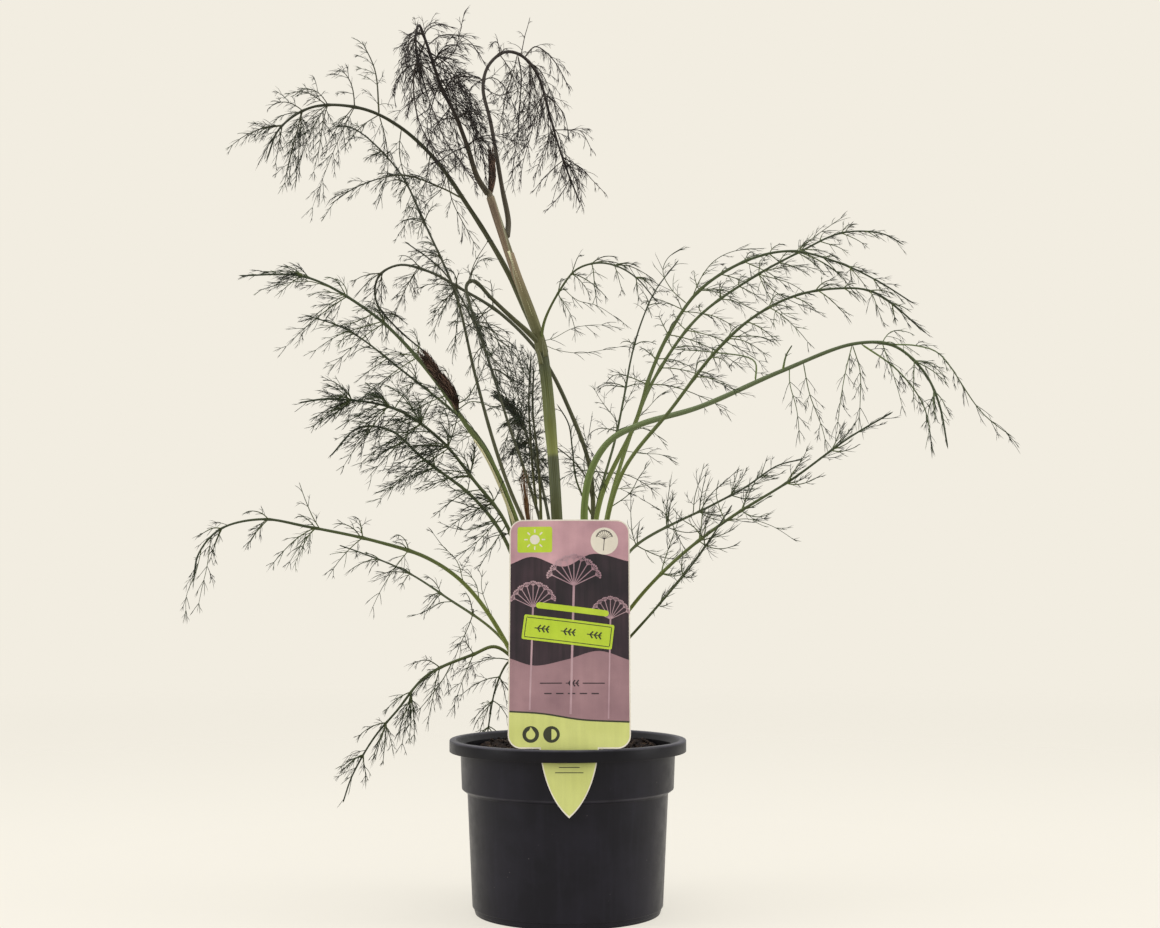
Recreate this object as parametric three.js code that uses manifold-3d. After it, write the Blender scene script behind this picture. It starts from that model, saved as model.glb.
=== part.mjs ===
// A potted bronze fennel: a nursery pot filled with soil, a plant label hooked through the pot's rim,
// and the plant itself, a crown and main stem that carry long arching leaves with thread-like blades.
// Millimetres, +Z up. The origin is the middle of the pot's foot, and the label faces -Y.
import * as THREE from "three";
import { mergeVertices } from "three/addons/utils/BufferGeometryUtils.js";
import Module from "manifold-3d";

const wasm = await Module();
wasm.setup();

// Driving dimensions
const rimRadius = 85;
const potHeight = 123;
const footRadius = 68;
const potWall = 1.2;
const soilLevel = 113;
const gap = 0.3;
const roundSteps = 32;

// Crown, where every basal leaf starts
const crownRadius = 23;
const crownTop = 125;
const crownFoot = 104;
const outerRing = 17;
const innerRing = 8.5;
const seatDepth = 4;

// Leaf construction
const stalkSides = 4;
const stalkSteps = 13;
const pinnaSides = 3;
const pinnaSteps = 2;
const limbSteps = 4;
const sheathLength = 45;
const sheathSwell = 1.5;
const stemSheathSwell = 1.2;
const thickStalk = 3;
const taper = 1.2;
const pinnaBaseRadius = 0.75;
const pinnaTipRadius = 0.45;
const lastPinna = 0.97;
const pinnaShrink = 0.72;
const pinnaFootAngle = 68;
const pinnaTipAngle = 42;
const angleSpread = 24;
const twistSpread = 30;
const sagMiddle = 0.03;
const sagTip = 0.22;

const material = (color, roughness) =>
  new THREE.MeshStandardMaterial({ color, roughness, metalness: 0 });
const materials = {
  pot: material(0x24232a, 0.45),
  soil: material(0x2a1d15, 0.95),
  label: material(0xb08d95, 0.4),
  crown: material(0x7d8c4c, 0.7),
  stem: material(0x7f8f4e, 0.5),
  greenLeaf: material(0x4c6034, 0.6),
  bronzeLeaf: material(0x473a35, 0.6),
  bud: material(0x4d1f1a, 0.7),
};

const up = new THREE.Vector3(0, 0, 1);
const point = ([x, y, z]) => new THREE.Vector3(x, y, z);
const radians = THREE.MathUtils.degToRad;
const mix = THREE.MathUtils.lerp;

// A closed three.js geometry as a manifold-3d solid.
function solidOf(geometry) {
  const bare = geometry.clone();
  bare.deleteAttribute("normal");
  bare.deleteAttribute("uv");
  const merged = mergeVertices(bare, 1e-4);
  return new wasm.Manifold(
    new wasm.Mesh({
      numProp: 3,
      vertProperties: new Float32Array(merged.attributes.position.array),
      triVerts: new Uint32Array(merged.index.array),
    }),
  );
}

// A manifold-3d solid as a named three.js mesh.
function meshOf(name, solid, finish) {
  const { vertProperties, triVerts } = solid.getMesh();
  const geometry = new THREE.BufferGeometry()
    .setAttribute("position", new THREE.BufferAttribute(vertProperties, 3))
    .setIndex(new THREE.BufferAttribute(triVerts, 1));
  geometry.computeVertexNormals();
  const mesh = new THREE.Mesh(geometry, finish);
  mesh.name = name;
  return mesh;
}

// A profile of [radius, height] pairs turned about the Z axis.
function turned(profile, steps = roundSteps) {
  const outline = profile.map(([radius, height]) => new THREE.Vector2(radius, height));
  return solidOf(new THREE.LatheGeometry(outline, steps).rotateX(Math.PI / 2));
}

// A repeatable value from 0 to 1 for a leaf, a pair on it and a side, so that no two pinnae match.
function vary(leaf, pair, side) {
  const turn = Math.sin(leaf * 12.9898 + pair * 78.233 + side * 37.719) * 43758.5453;
  return turn - Math.floor(turn);
}

// A closed tapered tube along a curve: a cylinder whose rings are moved onto the curve.
function tube(curve, radiusAt, sides, steps) {
  const geometry = new THREE.CylinderGeometry(1, 1, 1, sides, steps);
  const { normals, binormals } = curve.computeFrenetFrames(steps);
  const position = geometry.attributes.position;
  for (let i = 0; i < position.count; i++) {
    const along = position.getY(i) + 0.5;
    const ring = Math.round(along * steps);
    const radius = radiusAt(along);
    const moved = curve
      .getPointAt(along)
      .addScaledVector(normals[ring], position.getX(i) * radius)
      .addScaledVector(binormals[ring], -position.getZ(i) * radius);
    position.setXYZ(i, moved.x, moved.y, moved.z);
  }
  return solidOf(geometry);
}

const curveThrough = (points) => new THREE.CatmullRomCurve3(points, false, "centripetal");

// Pot: foot ring and centre boss on the ground, a raised drain channel between them, a stacking
// ledge, and a rim whose outer skirt hangs clear of the wall.
const bossRadius = 18;
const channelHeight = 3;
const footWidth = 10;
const ledgeHeight = 85;
const ledgeRadius = 72;
const bandRadius = 76;
const skirtBottom = 114.5;
const rimLand = 4.5;

function potSolid() {
  const channelInner = bossRadius + 2;
  const channelOuter = footRadius - footWidth - 2;
  const innerRim = rimRadius - rimLand;
  const throat = bandRadius + 0.2;
  const outside = [
    [0, 0],
    [bossRadius, 0],
    [channelInner, channelHeight],
    [channelOuter, channelHeight],
    [channelOuter + 2, 0],
    [footRadius - 1.5, 0],
    [footRadius, 1.5],
    [ledgeRadius, ledgeHeight],
    [bandRadius, ledgeHeight + 3],
    [bandRadius + potWall, potHeight - 5.8],
    [innerRim + 0.7, potHeight - 1.4],
    [rimRadius - 1.3, potHeight - 1.4],
    [rimRadius - 1.3, skirtBottom],
    [rimRadius, skirtBottom],
    [rimRadius, potHeight - 0.6],
    [rimRadius - 0.6, potHeight],
    [innerRim, potHeight],
    [throat, potHeight - 4.5],
  ];
  const inside = [
    [bandRadius - potWall, ledgeHeight + 3.6],
    [ledgeRadius - potWall, ledgeHeight + 0.6],
    [footRadius - potWall, potWall + 0.4],
    [channelOuter + 2 - 0.6, potWall + 0.4],
    [channelOuter - 0.6, channelHeight + potWall],
    [channelInner + 0.6, channelHeight + potWall],
    [bossRadius + 0.6, potWall + 0.4],
    [0, potWall + 0.4],
  ];
  const shell = turned([...outside, ...inside]);
  const holes = drainHoles().concat(labelSlot());
  return holes.reduce((pot, hole) => pot.subtract(hole), shell);
}

// Eight drain holes round the channel and four nearer the middle.
const drainRadius = 4.5;
function drainHoles() {
  const rings = [
    { count: 8, at: 47 },
    { count: 4, at: 28 },
  ];
  return rings.flatMap(({ count, at }) =>
    Array.from({ length: count }, (_, i) => {
      const angle = ((i + 0.5) / count) * 2 * Math.PI;
      const drill = new THREE.CylinderGeometry(drainRadius, drainRadius, 12, 8);
      drill.rotateX(Math.PI / 2).translate(at * Math.cos(angle), at * Math.sin(angle), channelHeight);
      return solidOf(drill);
    }),
  );
}

// Label: a rounded card above the rim and a pointed tongue that hangs through the rim's slot.
const cardWidth = 83;
const cardHeight = 157;
const cardCorner = 9;
const tongueWidth = 40;
const tongueLength = 46;
const labelThickness = 0.6;
const labelLean = 9;
const labelAcross = 1.5;
const slotBack = -79.1;
const slotWidth = 42;
const slotThickness = 1.8;
const cardLift = 0.6;

function labelSlot() {
  const cutter = new THREE.BoxGeometry(slotWidth, slotThickness, 16);
  return solidOf(cutter.rotateX(radians(-labelLean)).translate(labelAcross, slotBack, potHeight));
}

function labelSolid() {
  const half = cardWidth / 2;
  const card = new THREE.Shape();
  card.moveTo(-tongueWidth / 2, 0);
  card.bezierCurveTo(-18.5, -14, -14, -34, 0, -tongueLength);
  card.bezierCurveTo(14, -34, 18.5, -14, tongueWidth / 2, 0);
  card.lineTo(half - cardCorner, 0);
  card.absarc(half - cardCorner, cardCorner, cardCorner, -Math.PI / 2, 0);
  card.absarc(half - cardCorner, cardHeight - cardCorner, cardCorner, 0, Math.PI / 2);
  card.absarc(cardCorner - half, cardHeight - cardCorner, cardCorner, Math.PI / 2, Math.PI);
  card.absarc(cardCorner - half, cardCorner, cardCorner, Math.PI, 1.5 * Math.PI);
  const sheet = new THREE.ExtrudeGeometry(card, {
    depth: labelThickness,
    bevelEnabled: false,
    curveSegments: 4,
  });
  sheet.translate(0, cardLift, -labelThickness / 2).rotateX(radians(90 - labelLean));
  return solidOf(sheet.translate(labelAcross, slotBack, potHeight));
}

// Soil: fills the pot with a small gap all round, and rises a little towards the plant.
function soilSolid() {
  const bandInside = bandRadius - potWall - gap;
  const ledgeInside = ledgeRadius - potWall - gap;
  const floor = channelHeight + potWall + gap;
  return turned([
    [0, floor],
    [footRadius - potWall - gap, floor],
    [ledgeInside, ledgeHeight + 1.2],
    [bandInside, ledgeHeight + 4.2],
    [bandInside, soilLevel - 2],
    [bandInside - 3, soilLevel - 1],
    [crownRadius + 20, soilLevel],
    [0, soilLevel + 1.5],
  ]).subtract(crownSolid(gap));
}

// Crown: the low knob of old leaf bases, half sunk in the soil. extra grows it on every side.
function crownSolid(extra = 0) {
  return turned(
    [
      [0, crownFoot - extra],
      [crownRadius - 6 + extra, crownFoot - extra],
      [crownRadius + extra, crownFoot + 7],
      [crownRadius + extra, crownFoot + 15],
      [outerRing + 2 + extra, crownTop - 1.5 + extra],
      [innerRing + extra, crownTop + extra],
      [0, crownTop + extra],
    ],
    24,
  );
}

// Main stem: rises from the crown and leans left, with a joint half way up.
const stemRoute = [
  [1, 0, 122],
  [-4, 0, 194],
  [-8, 0, 281],
  [-12, 0, 339],
  [-20, 0, 408],
  [-39, 0, 463],
  [-59, 0, 523],
];
const stemRadius = 4.4;
const stemTipRadius = 3.4;
const stemJoint = 0.505;
const jointSwell = 0.7;
const jointSpread = 0.03;

// The stem in one piece. extra grows it on every side.
function stemSolid(extra = 0) {
  const knuckle = (along) => jointSwell * Math.exp(-(((along - stemJoint) / jointSpread) ** 2));
  const radiusAt = (along) => mix(stemRadius, stemTipRadius, along) + knuckle(along) + extra;
  const route = stemRoute.map(point);
  route.at(-1).z += extra;
  return tube(curveThrough(route), radiusAt, 8, 18);
}

// Every leaf, as a route from its seat to its tip. seat is an angle round the crown and a ring on it,
// or the main stem. blade is where the first pinnae stand along the route, reach the length of the
// longest pinnae, roll how far the blade turns about the stalk, and limbs the side shoots of its own.
const leaves = [
  {
    name: "leaf_low_left_long",
    seat: [204, outerRing],
    route: [
      [-44, -14, 192], [-72, -25, 233], [-98, -32, 252], [-134, -40, 264], [-181, -48, 274],
      [-212, -52, 279], [-240, -55, 272], [-254, -58, 255], [-257, -60, 235],
    ],
    radius: 1.9, tip: 0.55, blade: 0.5, pairs: 5, reach: 42, roll: 60,
  },
  {
    name: "leaf_low_left_short",
    seat: [164, outerRing],
    route: [
      [-45, 12, 190], [-92, 35, 225], [-124, 55, 244], [-157, 75, 257], [-178, 86, 264],
    ],
    radius: 1.5, tip: 0.5, blade: 0.45, pairs: 4, reach: 42, roll: 50,
  },
  {
    name: "leaf_lowest_left",
    seat: [224, outerRing],
    route: [
      [-30, -24, 170], [-50, -34, 190], [-66, -42, 185], [-97, -58, 171], [-116, -66, 148],
      [-131, -70, 130], [-145, -74, 105], [-151, -76, 87],
    ],
    radius: 1.7, tip: 0.5, blade: 0.42, pairs: 5, reach: 46, roll: 70,
  },
  {
    name: "leaf_back_low_left",
    seat: [129, outerRing],
    route: [
      [-26, 38, 172], [-44, 66, 176], [-56, 86, 155], [-63, 99, 120], [-66, 105, 96],
    ],
    radius: 1.2, tip: 0.45, blade: 0.5, pairs: 4, reach: 34, roll: 20,
  },
  {
    name: "leaf_dense_left",
    seat: [244, outerRing],
    route: [
      [-18, -28, 187], [-31, -38, 245], [-45, -46, 280], [-64, -58, 305], [-86, -72, 332],
      [-116, -90, 352], [-158, -104, 357], [-178, -108, 354],
    ],
    radius: 1.9, tip: 0.55, blade: 0.45, pairs: 6, reach: 62, roll: 75,
  },
  {
    name: "leaf_mid_left",
    seat: [183, outerRing],
    route: [
      [-27, -2, 194], [-38, -5, 248], [-50, -7, 274], [-70, -8, 298], [-104, -10, 324],
      [-127, -12, 344], [-150, -15, 346], [-170, -18, 325],
    ],
    radius: 1.8, tip: 0.5, blade: 0.52, pairs: 5, reach: 52, roll: 60,
  },
  {
    name: "leaf_left_shoot",
    seat: [178, innerRing],
    route: [
      [-20, 4, 214], [-32, 8, 262], [-46, 12, 301], [-60, 15, 330], [-73, 20, 348],
      [-95, 26, 380], [-121, 30, 412], [-148, 34, 437], [-198, 40, 465], [-250, 45, 467],
    ],
    radius: 2.8, tip: 0.55, blade: 0.58, pairs: 5, reach: 60, roll: 65,
  },
  {
    name: "leaf_upper_back_left",
    seat: [146, outerRing],
    route: [
      [-24, 20, 194], [-36, 36, 253], [-50, 52, 306], [-68, 68, 345], [-133, 95, 403],
      [-176, 105, 435], [-211, 112, 448],
    ],
    radius: 1.7, tip: 0.5, blade: 0.58, pairs: 5, reach: 58, roll: 40,
  },
  {
    name: "leaf_tall_thin_left",
    seat: [138, innerRing],
    route: [
      [-14, 18, 208], [-28, 30, 267], [-44, 42, 305], [-57, 54, 342], [-72, 68, 395],
      [-88, 84, 459], [-111, 100, 512], [-136, 112, 563], [-173, 121, 600], [-189, 123, 603],
    ],
    radius: 1.9, tip: 0.5, blade: 0.66, pairs: 5, reach: 38, roll: 30,
  },
  {
    name: "leaf_back_left",
    seat: [113, outerRing],
    route: [
      [-10, 26, 208], [-18, 38, 268], [-31, 52, 313], [-46, 72, 356], [-57, 88, 390],
      [-75, 110, 440], [-102, 128, 486], [-134, 136, 512],
    ],
    radius: 1.6, tip: 0.5, blade: 0.76, pairs: 4, reach: 34, roll: 20,
  },
  {
    name: "leaf_hooked",
    seat: [55, innerRing],
    route: [
      [12, 14, 208], [18, 22, 267], [16, 28, 320], [2, 32, 361], [-20, 34, 404],
      [-51, 38, 437], [-82, 42, 457], [-105, 46, 470], [-129, 50, 476], [-145, 55, 468],
      [-147, 57, 450], [-132, 60, 430], [-107, 64, 409],
    ],
    radius: 2, tip: 0.5, blade: 0.66, pairs: 5, reach: 46, roll: 60,
  },
  {
    name: "leaf_centre_back",
    seat: [88, outerRing],
    route: [
      [-2, 28, 208], [-12, 50, 268], [-24, 82, 323], [-35, 110, 357], [-48, 140, 380],
      [-62, 168, 384],
    ],
    radius: 1.9, tip: 0.55, blade: 0.5, pairs: 6, reach: 42, roll: 25,
  },
  {
    name: "leaf_stem_front",
    seat: "stem",
    route: [
      [-20, 0, 408], [-30, -8, 417], [-41, -16, 426], [-55, -28, 438], [-66, -38, 448],
      [-71, -44, 444], [-68, -49, 428], [-58, -54, 398], [-46, -58, 362],
    ],
    radius: 1.7, tip: 0.5, blade: 0.45, pairs: 5, reach: 45, roll: 65,
  },
  {
    name: "leaf_thick_right_arch",
    seat: [335, outerRing],
    route: [
      [15, -12, 194], [13, -17, 252], [12, -19, 291], [17, -21, 316], [30, -24, 336],
      [51, -28, 347], [93, -34, 359], [149, -42, 383], [201, -48, 402], [227, -52, 400],
      [247, -55, 382], [257, -57, 360], [263, -58, 327],
    ],
    radius: 3.3, tip: 0.55, blade: 0.82, pairs: 3, reach: 40, roll: 40,
    limbs: [
      { at: 0.64, route: [[132, -32, 392], [105, -18, 400], [76, -6, 404]] },
      { at: 0.79, route: [[228, -60, 382], [244, -70, 356], [249, -76, 321]] },
      { at: 0.83, route: [[240, -72, 397], [252, -84, 390], [277, -100, 348], [298, -104, 330]] },
    ],
  },
  {
    name: "leaf_right_arch",
    seat: [12, innerRing],
    route: [
      [12, 4, 208], [17, 12, 255], [25, 20, 300], [50, 28, 354], [62, 36, 392], [75, 42, 421],
      [99, 48, 456], [137, 56, 481], [172, 62, 489], [210, 66, 480], [239, 70, 467],
      [267, 73, 450],
    ],
    radius: 2.2, tip: 0.5, blade: 0.5, pairs: 6, reach: 60, roll: 50,
  },
  {
    name: "leaf_right_high",
    seat: [40, outerRing],
    route: [
      [20, 16, 194], [24, 32, 253], [32, 48, 298], [53, 72, 363], [68, 84, 396],
      [101, 98, 443], [146, 108, 477], [183, 113, 498], [219, 118, 515], [252, 122, 515],
      [270, 124, 506],
    ],
    radius: 2, tip: 0.5, blade: 0.55, pairs: 6, reach: 58, roll: 45,
  },
  {
    name: "leaf_back_right",
    seat: [66, outerRing],
    route: [
      [10, 26, 208], [16, 44, 262], [24, 64, 303], [36, 86, 346], [43, 100, 379],
      [50, 116, 416], [58, 128, 444], [70, 140, 472], [90, 152, 500],
    ],
    radius: 1.5, tip: 0.45, blade: 0.5, pairs: 5, reach: 40, roll: 10,
  },
  {
    name: "leaf_right_middle",
    seat: [306, outerRing],
    route: [
      [16, -20, 187], [23, -34, 252], [38, -50, 311], [72, -68, 355], [100, -80, 391],
      [124, -88, 413], [151, -94, 427], [180, -98, 432], [205, -101, 429], [240, -105, 400],
    ],
    radius: 1.9, tip: 0.5, blade: 0.55, pairs: 5, reach: 55, roll: 50,
  },
  {
    name: "leaf_low_back_right",
    seat: [18, outerRing],
    route: [
      [24, 16, 158], [30, 34, 206], [36, 52, 238], [50, 70, 262], [113, 100, 296],
      [139, 110, 310], [166, 120, 328], [188, 128, 334],
    ],
    radius: 1.6, tip: 0.5, blade: 0.5, pairs: 5, reach: 50, roll: 55,
  },
  {
    name: "leaf_low_front_right",
    seat: [0, outerRing],
    route: [
      [22, -8, 158], [32, -22, 197], [48, -36, 222], [76, -58, 252], [109, -78, 278],
      [150, -100, 304], [185, -118, 330], [212, -130, 346],
    ],
    radius: 1.6, tip: 0.5, blade: 0.42, pairs: 5, reach: 52, roll: 60,
  },
  {
    name: "leaf_front_right",
    seat: [282, outerRing],
    route: [
      [12, -24, 160], [28, -36, 180], [44, -46, 198], [60, -64, 217], [87, -98, 252],
      [108, -122, 286],
    ],
    radius: 1.3, tip: 0.45, blade: 0.58, pairs: 3, reach: 34, roll: 30,
  },
  {
    name: "leaf_stem_right_arch",
    seat: "stem",
    route: [
      [-20, 0, 408], [-17, -8, 424], [-6, -20, 444], [6, -32, 457], [21, -42, 460],
      [35, -50, 456], [48, -55, 447], [62, -58, 430],
    ],
    radius: 1.1, tip: 0.4, blade: 0.3, pairs: 5, reach: 42, roll: 55,
  },
  {
    name: "leaf_stem_high_left",
    seat: "stem",
    route: [
      [-22, 0, 414], [-32, 7, 436], [-45, 8, 464], [-60, 6, 490], [-73, 3, 510],
      [-96, -6, 542], [-122, -18, 564], [-147, -28, 574], [-180, -40, 572], [-202, -50, 554],
      [-210, -56, 530],
    ],
    radius: 2.2, tip: 0.5, blade: 0.72, pairs: 4, reach: 55, roll: 50,
    limbs: [
      { at: 0.38, route: [[-92, -16, 520], [-118, -36, 524], [-147, -52, 512], [-166, -62, 496]] },
      { at: 0.66, route: [[-140, -14, 606], [-151, -6, 631]] },
    ],
  },
  {
    name: "leaf_top_drooping",
    seat: "stem",
    route: [
      [-58, 0, 518], [-66, -3, 530], [-73, -10, 551], [-82, -17, 574], [-91, -22, 591],
      [-102, -31, 623], [-106, -36, 632], [-108, -41, 622], [-105, -46, 601], [-98, -50, 575],
    ],
    radius: 1.8, tip: 0.5, blade: 0.3, pairs: 7, reach: 62, roll: 80,
    limbs: [{ at: 0.62, route: [[-108, -54, 590], [-102, -62, 552], [-82, -66, 522]] }],
  },
  {
    name: "leaf_top_arch",
    seat: "stem",
    route: [
      [-45, 0, 486], [-44, 8, 500], [-49, 14, 527], [-58, 22, 578], [-64, 27, 606],
      [-60, 31, 624], [-48, 37, 636], [-36, 42, 635], [-24, 46, 622], [-14, 50, 590],
      [-5, 53, 560], [9, 56, 524],
    ],
    radius: 1.8, tip: 0.5, blade: 0.44, pairs: 6, reach: 52, roll: 70,
    limbs: [{ at: 0.6, route: [[-25, 52, 645], [-12, 62, 638], [2, 70, 615]] }],
  },
];

// A leaf's route with its first point on the crown, or inside the main stem.
function routeOf(leaf) {
  if (leaf.seat === "stem") return leaf.route.map(point);
  const [azimuth, ring] = leaf.seat;
  const angle = radians(azimuth);
  const seat = new THREE.Vector3(ring * Math.cos(angle), ring * Math.sin(angle), crownTop - seatDepth);
  return [seat, ...leaf.route.map(point)];
}

// The pinnae of one leaf: pairs of short side stalks, longest at the foot of the blade.
function pinnaeOf(leaf, number, axis) {
  const reachWay = axis.getPointAt(1).sub(axis.getPointAt(0)).setZ(0).normalize();
  const across = new THREE.Vector3().crossVectors(up, reachWay);
  const pinnae = [];
  for (let pair = 0; pair < leaf.pairs; pair++) {
    const share = pair / leaf.pairs;
    const along = mix(leaf.blade, lastPinna, share);
    const foot = insideStalk(axis, along);
    const ahead = axis.getTangentAt(along);
    const flat = across.clone().addScaledVector(ahead, -across.dot(ahead)).normalize();
    const twist = leaf.roll + twistSpread * (vary(number, pair, 0) - 0.5);
    flat.applyAxisAngle(ahead, radians(twist));
    for (const side of [-1, 1]) {
      const change = vary(number, pair, side);
      const length = leaf.reach * (1 - pinnaShrink * share) * mix(0.8, 1.15, change);
      const angle = radians(mix(pinnaFootAngle, pinnaTipAngle, share) + angleSpread * (change - 0.5));
      const way = ahead.clone().multiplyScalar(Math.cos(angle)).addScaledVector(flat, side * Math.sin(angle));
      const middle = foot.clone().addScaledVector(way, 0.5 * length).addScaledVector(up, -sagMiddle * length);
      const tip = foot.clone().addScaledVector(way, length).addScaledVector(up, -sagTip * length);
      pinnae.push([foot, middle, tip]);
    }
  }
  return pinnae;
}

// A point inside the stalk, whose rings are joined by straight runs.
function insideStalk(axis, along) {
  const ring = Math.min(Math.floor(along * stalkSteps), stalkSteps - 1);
  const next = axis.getPointAt((ring + 1) / stalkSteps);
  return axis.getPointAt(ring / stalkSteps).lerp(next, along * stalkSteps - ring);
}

// The stalk of a leaf alone, without pinnae. extra grows it on every side.
function stalkSolid(leaf, extra = 0) {
  const axis = curveThrough(routeOf(leaf));
  const length = axis.getLength();
  const swell = leaf.seat === "stem" || leaf.radius > thickStalk ? stemSheathSwell : sheathSwell;
  const radiusAt = (along) => {
    const sheath = mix(swell, 1, Math.min(1, (along * length) / sheathLength));
    return extra + mix(leaf.radius, leaf.tip, along ** taper) * sheath;
  };
  return tube(axis, radiusAt, stalkSides, stalkSteps);
}

// One leaf in one piece: the sheathing base, the stalk, its pinnae and its limbs.
function leafSolid(leaf, number) {
  const axis = curveThrough(routeOf(leaf));
  const slender = (along) => mix(pinnaBaseRadius, pinnaTipRadius, along);
  let solid = stalkSolid(leaf);
  for (const pinna of pinnaeOf(leaf, number, axis))
    solid = solid.add(tube(curveThrough(pinna), slender, pinnaSides, pinnaSteps));
  for (const { at, route } of leaf.limbs ?? []) {
    const limb = curveThrough([insideStalk(axis, at), ...route.map(point)]);
    solid = solid.add(tube(limb, slender, pinnaSides, limbSteps));
  }
  return solid.subtract(leaf.seat === "stem" ? stemSolid(gap) : crownSolid(gap));
}

// Young leaves still folded in their sheaths, as spindles. host is the stalk a bud grows against.
const buds = [
  {
    name: "bud_left_shoot",
    host: "leaf_left_shoot",
    route: [[-82, 21, 362], [-84, 14, 374], [-94, 13, 388], [-104, 13, 402]],
    radius: 4.2,
  },
  {
    name: "bud_stem_top",
    host: "main_stem",
    route: [[-57, 2, 518], [-56, 9, 536], [-57, 11, 552]],
    radius: 2.6,
  },
  {
    name: "bud_red_sprout",
    host: "root_crown",
    route: [[-6.5, -6.5, 121], [-18, -9, 200], [-26, -10, 260], [-32, -10, 309]],
    radius: 2.2,
  },
];

function budSolid(bud) {
  const radiusAt = (along) => bud.radius * mix(0.5, 1, Math.sin(Math.PI * Math.min(1, along)) ** 0.7);
  const spindle = tube(curveThrough(bud.route.map(point)), radiusAt, 6, 8);
  if (bud.host === "main_stem") return spindle.subtract(stemSolid(gap));
  if (bud.host === "root_crown") return spindle.subtract(crownSolid(gap));
  return spindle.subtract(stalkSolid(leaves.find(({ name }) => name === bud.host), gap));
}

const fennel = new THREE.Group();
fennel.add(meshOf("nursery_pot", potSolid(), materials.pot));
fennel.add(meshOf("potting_soil", soilSolid(), materials.soil));
fennel.add(meshOf("plant_label", labelSolid(), materials.label));
fennel.add(meshOf("root_crown", crownSolid(), materials.crown));
fennel.add(meshOf("main_stem", stemSolid().subtract(crownSolid(gap)), materials.stem));
leaves.forEach((leaf, number) => {
  const finish = leaf.name.startsWith("leaf_top") ? materials.bronzeLeaf : materials.greenLeaf;
  fennel.add(meshOf(leaf.name, leafSolid(leaf, number), finish));
});
for (const bud of buds) fennel.add(meshOf(bud.name, budSolid(bud), materials.bud));

export default fennel;
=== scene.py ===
"""Potted bronze fennel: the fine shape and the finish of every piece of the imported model.

Sizes and routes are written in millimetres, and MM turns them into the frame's metres. The frame has
+Z up, the label's printed side towards -Y, and its origin in the middle of the pot's foot. Colours of
three numbers are a screen's red, green and blue, 0 to 255, and those of four are linear, with opacity.
"""

import logging
import math
from dataclasses import dataclass, field
from enum import Enum
from typing import Sequence

import bmesh
import bpy
import numpy as np
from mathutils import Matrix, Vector


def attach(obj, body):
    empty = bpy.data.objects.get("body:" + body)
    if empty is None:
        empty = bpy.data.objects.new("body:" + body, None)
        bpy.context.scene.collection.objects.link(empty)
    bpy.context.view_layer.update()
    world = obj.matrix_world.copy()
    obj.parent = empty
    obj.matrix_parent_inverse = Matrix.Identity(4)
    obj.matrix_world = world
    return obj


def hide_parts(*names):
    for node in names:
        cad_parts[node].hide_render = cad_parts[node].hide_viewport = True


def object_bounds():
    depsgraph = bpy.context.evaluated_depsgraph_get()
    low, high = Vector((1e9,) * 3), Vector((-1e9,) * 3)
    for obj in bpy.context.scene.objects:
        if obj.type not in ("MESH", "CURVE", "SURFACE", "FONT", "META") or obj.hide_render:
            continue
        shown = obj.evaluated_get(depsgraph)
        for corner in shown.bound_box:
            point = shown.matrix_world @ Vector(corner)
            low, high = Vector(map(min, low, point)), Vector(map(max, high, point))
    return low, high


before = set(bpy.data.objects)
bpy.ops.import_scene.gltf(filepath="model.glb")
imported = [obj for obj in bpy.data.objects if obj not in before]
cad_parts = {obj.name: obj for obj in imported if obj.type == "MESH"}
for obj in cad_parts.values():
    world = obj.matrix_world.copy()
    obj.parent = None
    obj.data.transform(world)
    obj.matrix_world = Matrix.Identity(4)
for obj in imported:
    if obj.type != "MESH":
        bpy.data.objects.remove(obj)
CAD_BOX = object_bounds()

Array = np.ndarray
Point = tuple[float, float, float]
Span = tuple[float, float]
Colour = tuple[float, ...]
Material = bpy.types.Material
Piece = bpy.types.Object
Rng = np.random.Generator
Socket = bpy.types.NodeSocket

MM = 0.001
BODY = "root"
BAKE_MAP = "OFBake"
UP = np.array([0.0, 0.0, 1.0])
GOLDEN_ANGLE = 2.399963
LOG = logging.getLogger("fennel")


class Slot(Enum):
    """The record's material slots."""

    POT = "pot"
    SOIL = "soil"
    LABEL = "label"
    STEM = "stem"
    LEAF = "leaf"
    BRONZE_LEAF = "bronze_leaf"
    BUD = "bud"


def shader_colour(colour: Colour) -> Colour:
    """Turn a screen colour into the linear one that shaders take.

    Args:
        colour: Red, green and blue of 0 to 255, or a linear colour with opacity, which stays as it is.

    Returns:
        The linear colour with opacity.
    """
    if len(colour) == 4:
        return colour
    shares = (channel / 255 for channel in colour)
    linear = (s / 12.92 if s <= 0.04045 else ((s + 0.055) / 1.055) ** 2.4 for s in shares)
    return (*linear, 1.0)


def mix(low: Array | float, high: Array | float, share: Array | float) -> Array | float:
    """Go from low to high by a share."""
    return low + (high - low) * share


def smoothstep(value: Array, start: float, end: float) -> Array:
    """Rise smoothly from 0 at start to 1 at end."""
    share = np.clip((value - start) / (end - start), 0, 1)
    return share**2 * (3 - 2 * share)


def unit(vectors: Array) -> Array:
    """Scale vectors to length one."""
    return vectors / np.maximum(np.linalg.norm(vectors, axis=-1, keepdims=True), 1e-12)


def square_to(vectors: Array, axes: Array) -> Array:
    """Turn vectors square to unit axes, at length one."""
    return unit(vectors - axes * (vectors * axes).sum(-1, keepdims=True))


def directions(angles: Array) -> Array:
    """Give level unit directions for angles in radians."""
    return np.stack([np.cos(angles), np.sin(angles), np.zeros(np.shape(angles))], -1)


def steps_round(count: int) -> Array:
    """Give the angles of even steps once round, in radians."""
    return np.arange(count) * 2 * math.pi / count


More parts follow.
